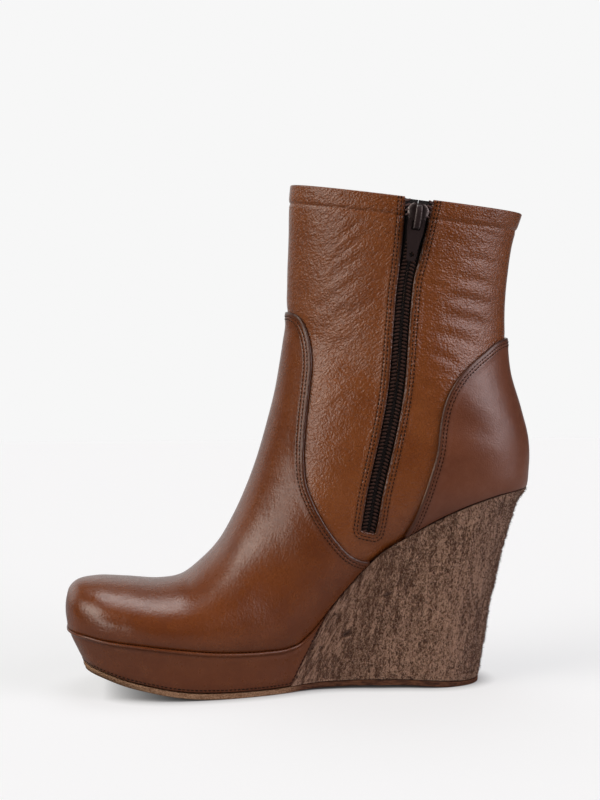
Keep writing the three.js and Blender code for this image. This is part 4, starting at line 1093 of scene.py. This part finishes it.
PLATFORM_ROW = 1.5
BOARD_TUCK = [(0.12, 0.15), (0.14, 1.0), (0.14, 4.0)]
BOARD_WRINKLES = [(86, -60, -75, -90, 0.0009, 0.00008)]
platform_leather = leather("platform leather", (0.163, 0.045, 0.0115), (0.124, 0.030, 0.006),
                           (0.185, 0.060, 0.020), 0.0006, 0.00006, 0.30, 0.25, BOARD_WRINKLES,
                           (PLATFORM_ROW,))
ring_at = np.arange(0, ring_reach[-1], 0.9)
row_at = np.concatenate([np.linspace(0, 3, 24), np.linspace(3, 4, 7)[1:], np.linspace(4, 5, 4)[1:]])
wall, height_up, drop = side_grid(ring_at, row_at)
wall_normal = side_normals(wall)
relief = 0.18 * noise_field(wall, (20, 20, 20)) * np.clip(height_up / 2, 0, 1) * np.clip(drop / 2, 0, 1)
relief += 0.45 * bell(drop - 0.9, 0.8) - 0.30 * bell(drop - 2.6, 0.9) - 0.35 * fading(height_up, 0.9)
wall = wall + wall_normal * relief[..., None]
front = border_x(wall[..., 2]) - GAP / 2 - wall[..., 0]
# edge darkens the board at its foot and where it meets the wedge: painted shade in these joints.
edge = np.minimum.reduce([height_up + 0.2, front, drop + 1.6])
fields = {"edge": edge, "seam": height_up, "front": front, "n": wall_normal}
board, faces, fields, cut_edges = trim_grid(wall, front, fields)
board_normal = fields.pop("n")
back_edges = edges_on(cut_edges, fields.pop("front"))
backwards = along_surface(np.array([[1.0, 0, -BORDER_LEAN]]), board_normal)
board, faces, fields = roll_edge(board, faces, fields, back_edges, board_normal, backwards, BOARD_TUCK)
add_piece("platform", board, faces, platform_leather, ["platform"], fields,
          outward=board_normal)
dark_thread = thread("dark thread", (0.016, 0.008, 0.005))
foot_row = len(UNDERCUT)
sewn = np.where(front > 0.6, height_up, -5.0)[foot_row:]
row_lines = contour_lines(wall[foot_row:], wall_normal[foot_row:], sewn, PLATFORM_ROW)
rowed_piece("platform_stitches", eased(row_lines), dark_thread, 2.1, 1.5,
            0.55, 0.45, 0, 0.05)


# Wedge: a light core wrapped in rough split leather, bark-like, with pits, ridges and loose fibres. Its
# streaks follow the front edge there and run more upright towards the back.
# Gouges: middle in the side view, lean in degrees, half length, half width and depth.
GOUGES = [
    ((41.1, 46.8), 22, 2.4, 0.8, 1.0), ((21.3, 27.5), 24, 2.2, 0.9, 1.1), ((47.0, 53.0), 40, 2.6, 0.6, 0.5),
]
WEDGE_FOLD = ((40.5, 70.6), (55.5, 70.0))
BLOCK_TUCK = [(0.05, 0.1), (0.05, 1.0), (0.05, 4.0)]
behind_border = ring_reach[ring_x > lengthwise(BORDER_FOOT) - 6]
wedge_ring = np.arange(behind_border.min(), behind_border.max(), 0.8)
wedge_rows = np.concatenate([np.linspace(0, 3, 90), np.linspace(3, 4, 11)[1:], np.linspace(4, 5, 5)[1:]])
wall, height_up, drop = side_grid(wedge_ring, wedge_rows)
wall_normal = side_normals(wall, closed=False)
from_border = (wall[..., 0] - border_x(wall[..., 2]) - GAP / 2) / math.hypot(1, BORDER_LEAN)
across_streaks = np.stack([from_border, wall[..., 1], wall[..., 2]], -1)
near_front = fading(from_border, 16)
bark = 0.42 * noise_field(across_streaks, (1.5, 30, 26)) * near_front
bark += 0.45 * noise_field(wall, (2.6, 4.0, 15), 7.0) * (1 - near_front)
bark += 0.30 * noise_field(wall, (9, 9, 20), 3.0)
bark += 0.26 * noise_field(wall, (1.5, 1.5, 2.2), 11.0)
at_back = np.clip((wall_normal[..., 0] - 0.3) / 0.4, 0, 1)
bark += 0.60 * noise_field(wall, (2.0, 2.0, 1.9), 23.0) * at_back
inner_side = wall[..., 1] < 0
for (x, z), lean, long, wide, depth in GOUGES:
    way_x, way_z = math.cos(math.radians(lean)), math.sin(math.radians(lean))
    along = (wall[..., 0] - x) * way_x + (wall[..., 2] - z) * way_z
    across = (wall[..., 2] - z) * way_x - (wall[..., 0] - x) * way_z
    bark -= depth * bell(along, long) * bell(across, wide) * inner_side
fold_a, fold_b = np.array(WEDGE_FOLD)
fold_z = np.interp(wall[..., 0], [fold_a[0], fold_b[0]], [fold_a[1], fold_b[1]])
on_fold = (wall[..., 0] > fold_a[0]) & (wall[..., 0] < fold_b[0]) & inner_side
bark -= 0.45 * bell(wall[..., 2] - fold_z, 0.6) * on_fold
pit = np.clip(-bark, 0, 1.5)
bark *= np.clip(height_up, 0, 1) * np.clip(drop / 1.2, 0, 1)
bark -= 0.35 * fading(drop, 0.8) + 0.15 * fading(height_up, 0.6)
wall = wall + wall_normal * bark[..., None]
fields = {"pit": pit, "up": height_up, "drop": drop, "border": from_border, "n": wall_normal}
block, faces, fields, cut_edges = trim_grid(wall, from_border, fields, closed=False)
block_normal = fields.pop("n")
front_edges = edges_on(cut_edges, fields["border"])
forwards = along_surface(np.array([[-1.0, 0, BORDER_LEAN]]), block_normal)
block, faces, fields = roll_edge(block, faces, fields, front_edges, block_normal, forwards, BLOCK_TUCK)


# Rough leather: spots behind and streaks near the front edge, with fibres on both; the fields "border", "up"
# and "drop" hold millimetres from the front edge, the foot and the top, and "pit" holds the depth of pits.
# Towards the back it carries painted light, and in the pits and along the top edge painted shade.
def rough_split(name, light, middle, dark, spot, share_dark):
    material, tree, shader, place = new_material(name)
    spots = stretched_noise(tree, place, spot, stretch=1.8, lean=80, detail=1.6, roughness=0.7, bend=1.0)
    streaks = stretched_noise(tree, place, spot * 1.1, stretch=8, lean=62.5, detail=2.5, roughness=0.65,
                              bend=0.3)
    clouds = stretched_noise(tree, place, spot * 4, stretch=6, lean=82, detail=3)
    fibres = stretched_noise(tree, place, spot * 0.4, stretch=2.5, lean=75, detail=2)
    border = field_of_mesh(tree, "border")
    pitted = field_of_mesh(tree, "pit")
    low = field_of_mesh(tree, "up")
    by_front = remap(tree, border, 0, 26, 0.75, 0.0)
    mixed = add_node(tree, "ShaderNodeMix", {"Factor": by_front, "A": spots, "B": streaks}).outputs["Result"]
    level = calculate(tree, "ADD", mixed, remap(tree, clouds, 0.3, 0.7, 0.09, -0.09))
    # Lighter towards the back: painted light on the back, which faces the lamps on the heel's side.
    level = calculate(tree, "ADD", level, remap(tree, border, 20, 62, 0.0, 0.060))
    # Darker in the pits, here and below: painted shade.
    level = calculate(tree, "SUBTRACT", level, remap(tree, pitted, 0.15, 0.9, 0, 0.22))
    level = calculate(tree, "ADD", level, remap(tree, low, 1.6, 0.6, 0, 0.05))
    color = blend_colors(tree, remap(tree, level, share_dark - 0.065, share_dark + 0.055), dark, middle)
    color = blend_colors(tree, remap(tree, level, share_dark + 0.02, share_dark + 0.20), color, light)
    color = blend_colors(tree, remap(tree, fibres, 0.50, 0.75, 0, 0.45), color, light)
    color = blend_colors(tree, remap(tree, fibres, 0.48, 0.28, 0, 0.45), color, dark)
    color = blend_colors(tree, remap(tree, pitted, 0.75, 1.15, 0, 0.85), color, darker(dark, 0.3))
    # Darker along the top edge, where the wedge meets the upper: painted shade.
    drop = field_of_mesh(tree, "drop")
    color = blend_colors(tree, remap(tree, drop, 0.9, 0.2, 0, 0.6), color, darker(dark, 0.5))
    normal = bump(tree, level, 0.0020, bump(tree, fibres, 0.0006))
    set_inputs(tree, shader, {"Base Color": color, "Roughness": 0.92, "Specular IOR Level": 0.18,
                              "Sheen Weight": 0.12, "Sheen Roughness": 0.5, "Normal": normal})
    return material


split_leather = rough_split("rough split leather", (0.560, 0.345, 0.240), (0.290, 0.160, 0.103),
                            (0.074, 0.030, 0.015), 0.0008, 0.485)
wedge = add_piece("wedge", block, faces, split_leather, ["wedge"], fields,
                  outward=block_normal)


# Loose fibres: short fine hairs that stand off the rough leather, most of them along the heel's back. They
# are torn up where the leather was buffed, and have no piece of their own in the frame.
FIBRE_FOOT = 4.5  # no fibres below this, so that none reach the floor
SHORTEST_FIBRE = 0.35


def random_value(tree, kind, seed, low, high):
    node = add_node(tree, "FunctionNodeRandomValue", {"Seed": seed}, data_type=kind)
    return set_shown(tree, node, {"Min": low, "Max": high})


def nap_tree(name):
    sizes = ("Density", "Length", "Thickness", "Spread")
    tree, given = start_tree(name, [(size, "Float") for size in sizes] + [("Seed", "Int")])
    shaggy = add_node(tree, "GeometryNodeInputNamedAttribute", {"Name": "shaggy"}, data_type="FLOAT")
    density = calculate(tree, "MULTIPLY", given["Density"], shaggy.outputs["Attribute"])
    sowing = {"Mesh": given["Geometry"], "Density": density, "Seed": given["Seed"]}
    spread = add_node(tree, "GeometryNodeDistributePointsOnFaces", sowing)
    sizes = {"Vertices": 3, "Radius Top": 0.0, "Radius Bottom": given["Thickness"], "Depth": given["Length"]}
    hair = add_node(tree, "GeometryNodeMeshCone", sizes, fill_type="NONE")
    lowest = calculate(tree, "MULTIPLY", given["Spread"], -1.0)
    tilt = random_value(tree, "FLOAT_VECTOR", given["Seed"], lowest, given["Spread"])
    tilted = add_node(tree, "FunctionNodeEulerToRotation", {"Euler": tilt}).outputs["Rotation"]
    turns = {"Rotation": spread.outputs["Rotation"], "Rotate By": tilted}
    turned = add_node(tree, "FunctionNodeRotateRotation", turns, rotation_space="LOCAL").outputs["Rotation"]
    placing = {"Points": spread.outputs["Points"], "Instance": hair.outputs["Mesh"], "Rotation": turned,
               "Scale": random_value(tree, "FLOAT", 5, SHORTEST_FIBRE, 1.0)}
    placed = add_node(tree, "GeometryNodeInstanceOnPoints", placing)
    return finish_tree(tree, placed, given["Material"])


# Fibres on a piece's mesh, as dense at each point as shaggy says. density counts them on a square
# millimetre.
def nap_piece(name, host, shaggy, material, density, length, thickness, spread, seed):
    mesh = host.data.copy()
    attribute = mesh.attributes.new("shaggy", "FLOAT", "POINT")
    attribute.data.foreach_set("value", np.asarray(shaggy, np.float32))
    values = {"Density": density / MM**2, "Length": length * MM, "Thickness": thickness * MM,
              "Spread": spread, "Seed": seed, "Material": material}
    return put_in(name, grown_mesh(name, mesh, fibre_tree, values))


def vertex_values(piece, what):
    values = np.empty(len(piece.data.vertices) * 3, np.float32)
    piece.data.vertices.foreach_get(what, values)
    return values.reshape(-1, 3)


fibre_tree = nap_tree("nap")
fibre = thread("split fibre", (0.20, 0.115, 0.080), 0.9)
shaggy = 0.12 + 0.88 * np.clip((vertex_values(wedge, "normal")[:, 0] - 0.45) / 0.3, 0, 1)
shaggy *= vertex_values(wedge, "co")[:, 2] / MM > FIBRE_FOOT
nap_piece("wedge_fibres", wedge, shaggy, fibre, 1.3, 1.7, 0.20, 0.8, 3)


# Outsole: a thin flat sole of pressed fibre, tan and fuzzy round the forefoot and dark under the wedge. It
# is cut from one sheet, bent up a little at the toe and glued under platform and wedge.
OUTSOLE_ROWS = 7
EDGE_ROUND = 1.6
BOTTOM_STRIPS = 14
BOTTOM_STATIONS = 260


# The underside's height, which never goes below the floor.
def floor_height(x):
    return np.maximum(tread_height(x), 0)


ring_at = np.arange(0, ring_reach[-1], 0.8)
foot = sole_points(ring_at, np.array([0.0]))[0]
under_edge = foot.copy()
under_edge[:, 2] = floor_height(foot[:, 0])
top_edge = foot - np.array([0, 0, GAP])
at_toe = np.clip((-70 - foot[:, :1]) / 20, 0, 1)
layers = [drawn_in(under_edge, 2.6), drawn_in(under_edge, 1.6)]
for k in range(OUTSOLE_ROWS):
    share = 0.07 + 0.86 * k / (OUTSOLE_ROWS - 1)
    straight = under_edge * (1 - share) + top_edge * share
    layers.append(drawn_in(straight, EDGE_ROUND * (1 - share) ** 2) * at_toe + straight * (1 - at_toe))
layers += [drawn_in(top_edge, 0.25), drawn_in(top_edge, 6.0)]
edge_wall = np.array(layers)
fuzz = 0.20 * noise_field(edge_wall, (1.3, 1.3, 1.6), 5.0) + 0.12 * noise_field(edge_wall, (5, 5, 5), 2.0)
fuzz[:1] = 0
fuzz[-2:] = 0
edge_wall = edge_wall + side_normals(edge_wall) * fuzz[..., None] * np.array([1, 1, 0])
edge_wall[..., 2] = np.maximum(edge_wall[..., 2], floor_height(edge_wall[..., 0]))
fields = {"behind": edge_wall[..., 0] - border_x(edge_wall[..., 2])}
strip, faces, fields, _ = trim_grid(edge_wall, np.ones(edge_wall.shape[:2]), fields)
middle_face = faces[len(faces) // 2]
if face_normal(strip, middle_face)[:2] @ (strip[middle_face[0], :2] - strip[:, :2].mean(0)) < 0:
    faces = [face[::-1] for face in faces]
half_ring = np.linspace(0, ring_reach[SIDE_STATIONS - 1], BOTTOM_STATIONS)
outer_foot = sole_points(half_ring, np.array([0.0]))[0]
inner_foot = sole_points(ring_reach[-1] - half_ring, np.array([0.0]))[0]
share = np.linspace(0, 1, BOTTOM_STRIPS + 1)[:, None, None]
sole_face = drawn_in(outer_foot, 0.9)[None] * (1 - share) + drawn_in(inner_foot, 0.9)[None] * share
sole_face[..., 2] = floor_height(sole_face[..., 0])
bottom_points = sole_face.reshape(-1, 3)
quads = grid_quads(*sole_face.shape[:2], closed=False)
if face_normal(bottom_points, quads[len(quads) // 2])[2] >= 0:
    quads = quads[:, ::-1]
faces += (quads + len(strip)).tolist()
bottom_behind = bottom_points[:, 0] - border_x(bottom_points[:, 2])
fields["behind"] = np.concatenate([fields["behind"][:, 0], bottom_behind])


def pressed_fibre(name, tan, tan_dark, brown, brown_dark):
    material, tree, shader, place = new_material(name)
    specks = stretched_noise(tree, place, 0.0007, detail=4, roughness=0.65, bend=0.6)
    layers_seen = stretched_noise(tree, place, 0.0010, stretch=7, detail=3)
    behind = field_of_mesh(tree, "behind")
    light = blend_colors(tree, remap(tree, specks, 0.40, 0.58), tan_dark, tan)
    dark = blend_colors(tree, remap(tree, layers_seen, 0.40, 0.62), brown_dark, brown)
    color = blend_colors(tree, remap(tree, behind, -2, 6), light, dark)
    set_inputs(tree, shader, {"Base Color": color, "Roughness": 0.88, "Specular IOR Level": 0.2,
                              "Normal": bump(tree, specks, 0.0005)})
    return material


sole_fibre = pressed_fibre("pressed fibre", (0.400, 0.245, 0.150), (0.200, 0.095, 0.048),
                           (0.150, 0.062, 0.033), (0.055, 0.022, 0.013))
outsole = add_piece("outsole", np.concatenate([strip, bottom_points]), faces, sole_fibre,
                    ["outsole"], fields)
spots = vertex_values(outsole, "co") / MM
on_wall = (np.arange(len(spots)) < len(strip)) & (spots[:, 2] > tread_height(spots[:, 0]) + 1.5)
shaggy = on_wall * np.where(spots[:, 0] < 10, 1.0, 0.4)
nap_piece("outsole_fibres", outsole, shaggy, fibre, 2.2, 0.8, 0.05, 1.0, 4)


# Zip tapes: two woven black tapes, sewn behind the slot's edges. They keep the frame's own solids, and only
# a narrow strip of each shows beside the coils.
def woven(name, color, rib):
    material, tree, shader, place = new_material(name)
    weave = stretched_noise(tree, place, rib, stretch=2.5, detail=2)
    color = blend_colors(tree, remap(tree, weave, 0.35, 0.65), darker(color, 0.5), color)
    set_inputs(tree, shader, {"Base Color": color, "Roughness": 0.85, "Normal": bump(tree, weave, 0.0002)})
    return material


black_tape = woven("black woven tape", (0.016, 0.012, 0.012), 0.0005)
for name in ("zip_tape_front", "zip_tape_rear"):
    dress(name, black_tape)


# Zip coils: two rows of brown nylon turns that lock in the middle, from the slot's foot to the slider. Each
# is sewn to its tape, and a few open turns stand free above the slider, dyed lighter as a painted highlight.
ZIP_COLLAR = 0.95
SLIDER_DROP = 9.5
SLIDER_LENGTH = 14.0
COIL_OUT = 2.05
COIL_DEPTH = 0.85
COIL_PITCH = 1.8
COIL_LEAN = 18
OPEN_END_FOOT = -6.0
OPEN_END_LENGTH = 6.8
OPEN_END_OUT = 1.25
OPEN_END_RISE = (1.5, 0.4)  # front and rear
upper_skin = grid_tree(last_grid(HEEL_ROW, LAST_ROW, 1.3, SHAFT_GIRTH)[0])


def on_inner_side(x, z):
    place, up, _, _ = upper_skin.ray_cast(Vector((x, -OUTSIDE, z)), Vector((0, 1, 0)))
    return np.array(place), np.array(up) * (-1 if up.y > 0 else 1)


slider_z = climb(1) + SHAFT_HEIGHT * ZIP_COLLAR - SLIDER_DROP
slider_x = np.interp(slider_z, zip_middle[:, 1], zip_middle[:, 0])
slider_way = np.array([np.interp(slider_z, zip_middle[:, 1], zip_along[:, k]) for k in (0, 1)])
half_x, half_z = slider_way * SLIDER_LENGTH / 2
slider_foot = on_inner_side(slider_x - half_x, slider_z - half_z)[0]
slider_head = on_inner_side(slider_x + half_x, slider_z + half_z)[0]
chain_z = np.arange(SLOT_FOOT + 0.8, slider_foot[2] + 1.5, 0.6)
chain = [on_inner_side(x, z) for x, z in zip(np.interp(chain_z, zip_middle[:, 1], zip_middle[:, 0]), chain_z)]
chain_points, chain_ups = (np.array(values) for values in zip(*chain))
for _ in range(8):
    chain_ups[1:-1] = (chain_ups[:-2] + 2 * chain_ups[1:-1] + chain_ups[2:]) / 4
chain_across = np.cross(unit(np.gradient(chain_points, axis=0)), chain_ups)
nylon = thread("brown nylon", (0.062, 0.031, 0.024), 0.45)
# The open turns' nylon is a lighter copy of the brown nylon: a painted highlight.
highlit_nylon = thread("highlit open nylon", (0.120, 0.072, 0.068), 0.38)
dark_nylon = thread("dark nylon", (0.012, 0.008, 0.008), 0.40)
rise_way = np.array([slider_way[0], 0, slider_way[1]])
for side, name, raised in zip((-1, 1), ("zip_coil_front", "zip_coil_rear"), OPEN_END_RISE):
    line = chain_points + side * COIL_OUT * chain_across - COIL_DEPTH * chain_ups
    turns = rowed_piece(name, [(line, chain_ups)], nylon, COIL_PITCH, 2.9, 1.3, 1.0,
                        90 - side * COIL_LEAN)
    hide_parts(name)
    locked = chain_points + side * 0.30 * chain_across - (COIL_DEPTH - 0.05) * chain_ups
    rowed_piece(f"{name}_locks", [(locked, chain_ups)], dark_nylon, COIL_PITCH / 2, 1.0,
                0.62, 0.5, side * 20)
    bed = chain_points + side * 3.35 * chain_across - (COIL_DEPTH + 0.25) * chain_ups
    rowed_piece(f"{name}_sewing", [(bed, chain_ups)], dark_nylon, 1.2, 1.3, 0.45, 0.5)
    open_share = np.linspace(0, 1, 12)
    open_rise = np.outer(OPEN_END_FOOT + OPEN_END_LENGTH * open_share, rise_way)
    open_end = slider_head + open_rise + np.outer(4.6 + 1.1 * open_share, [side, 0, 0])
    open_spots = [on_inner_side(x, z) for x, _, z in open_end]
    open_ups = np.array([up for _, up in open_spots])
    open_line = np.array([place for place, _ in open_spots]) + OPEN_END_OUT * open_ups + raised * rise_way
    rowed_piece(f"{name}_open", [(open_line, open_ups)], highlit_nylon, COIL_PITCH, 3.1, 1.3, 1.2,
                90 - side * COIL_LEAN)


# Slider: cast metal painted dark brown, worn bright on its edges, with a painted highlight along them. Its plate
# lies on the coils, and a bridge bent over it holds the tab.
SLIDER_HALF_WIDTH = 5.5
SLIDER_TOP = 1.8
BRIDGE_HALF_WIDTH = 1.5
BRIDGE_RISE = 4.3
PLATE_HALF = 0.62
BAR_SIDES = 20
slider_up = unit(slider_head - slider_foot)
slider_across = unit(np.array([1.0, 0, 0]) - slider_up * slider_up[0])
slider_out = np.cross(slider_across, slider_up)
slider_middle = (slider_head + slider_foot) / 2
SLIDER_SHAPE = np.array([
    (-7.0, 0.46), (-6.8, 0.60), (-6.2, 0.68), (-2.1, 0.72), (0.6, 0.80), (2.6, 0.93), (4.2, 1.0),
    (5.6, 0.93), (6.8, 0.74), (7.4, 0.58), (7.6, 0.46),
])
BRIDGE_BEND = np.array([
    (6.6, 1.2), (6.5, 2.4), (5.9, 3.6), (4.6, 4.5), (3.0, BRIDGE_RISE + 0.45), (0.0, BRIDGE_RISE + 0.4),
    (-2.4, BRIDGE_RISE + 0.3), (-3.8, BRIDGE_RISE - 0.1), (-4.5, 3.2), (-4.6, 2.2), (-4.6, 1.2),
])


def in_slider(points):
    return slider_middle + points @ np.array([slider_across, slider_up, slider_out])


# A closed bar with a rounded section along a path, for metal parts; halves are (across, thick) at each step.
def closed_bar(path, thick_way, halves, corner=3.2):
    turns = np.linspace(0, 2 * np.pi, BAR_SIDES, endpoint=False)
    a = np.sign(np.cos(turns)) * np.abs(np.cos(turns)) ** (2 / corner)
    b = np.sign(np.sin(turns)) * np.abs(np.sin(turns)) ** (2 / corner)
    rings = []
    for p, way, (across, thick) in zip(path, thick_way, halves):
        rings.append(p + np.outer(a * across, (1, 0, 0)) + np.outer(b * thick, way))
    points = np.concatenate(rings)
    caps = np.arange(len(points)).reshape(len(rings), BAR_SIDES)[[0, -1]].tolist()
    faces = grid_quads(len(rings), BAR_SIDES).tolist() + [caps[0][::-1], caps[1]]
    middle_face = faces[len(faces) // 2]
    if face_normal(points, middle_face) @ (points[middle_face[0]] - path[len(path) // 2]) < 0:
        faces = [face[::-1] for face in faces]
    # worn marks the section's rounded corners: bare metal, and a painted highlight along them.
    worn = np.tile((np.abs(a) ** 6 + np.abs(b) ** 6 < 1.05) * (np.abs(a * b) > 0.62) * 1.0, len(rings))
    return points, faces, worn


def painted_metal(name, paint, bare):
    material, tree, shader, place = new_material(name)
    scuffs = stretched_noise(tree, place, 0.0012, detail=4, roughness=0.7)
    worn = field_of_mesh(tree, "worn")
    # Bare metal where worn is high: real wear, and a painted highlight along the edges.
    light_edge_and_glint = calculate(tree, "MULTIPLY", worn, remap(tree, scuffs, 0.35, 0.6))
    set_inputs(tree, shader, {"Base Color": blend_colors(tree, light_edge_and_glint, paint, bare), "Metallic": 0.35,
                              "Roughness": 0.42, "Normal": bump(tree, scuffs, 0.00006)})
    return material


slider_paint = painted_metal("painted metal", (0.030, 0.017, 0.017), (0.30, 0.25, 0.24))
plate_y, plate_share = SLIDER_SHAPE.T
fine_y = np.concatenate([plate_y[:3], np.linspace(-5.5, 6.4, 24), plate_y[-3:]])
plate_half = np.interp(fine_y, plate_y, plate_share) * SLIDER_HALF_WIDTH
plate_thick = PLATE_HALF * np.clip(np.minimum(fine_y + 7.15, 7.75 - fine_y) / 0.7, 0.35, 1) ** 0.5
plate_path = np.stack([np.zeros(len(fine_y)), fine_y, np.full(len(fine_y), SLIDER_TOP - PLATE_HALF)], 1)
plate_halves = np.stack([plate_half, plate_thick], 1)
points, faces, worn = closed_bar(plate_path, [(0, 0, 1)] * len(fine_y), plate_halves)
crown = np.abs(points[:, 0]) / np.repeat(plate_half, BAR_SIDES)
raised_rim = 0.25 * bell(crown - 0.82, 0.12) * np.clip(points[:, 1] / 2, 0, 1)
points[:, 2] += np.where(points[:, 2] > 1.2, raised_rim, 0)
# The crown's top rim is fully worn: bare metal with a painted highlight.
worn = np.where((points[:, 2] > 1.3) & (crown > 0.86) & (points[:, 1] > 2), 1.0, 0.25 * worn)
add_piece("zip_slider", in_slider(points), faces, slider_paint, ["zip_slider"], {"worn": worn})
bend = smooth_line(BRIDGE_BEND, 40)
way = unit(np.gradient(bend, axis=0))
bridge_path = np.stack([np.zeros(len(bend)), bend[:, 0], bend[:, 1]], 1)
bridge_way = np.stack([np.zeros(len(bend)), -way[:, 1], way[:, 0]], 1)
widths = BRIDGE_HALF_WIDTH * (0.82 + 0.28 * np.sin(np.linspace(0.35, np.pi * 0.8, len(bend))))
points, faces, worn = closed_bar(bridge_path, bridge_way, np.stack([widths, np.full(len(bend), 0.5)], 1), 3.6)
add_piece("zip_slider_bridge", in_slider(points), faces, slider_paint,
          fields={"worn": 0.6 * worn})


# Pull tab: a stamped and painted metal plate that hangs on the pin under the bridge. It keeps the frame's own
# solid, and its stamped edges are rounded.
TAB_ROUND = 0.28
tab = dress("zip_pull_tab", slider_paint)
rounding = tab.modifiers.new("rounded", "BEVEL")
rounding.width = TAB_ROUND * MM
rounding.segments = 3
rounding.limit_method = "ANGLE"
rounding.angle_limit = math.radians(40)
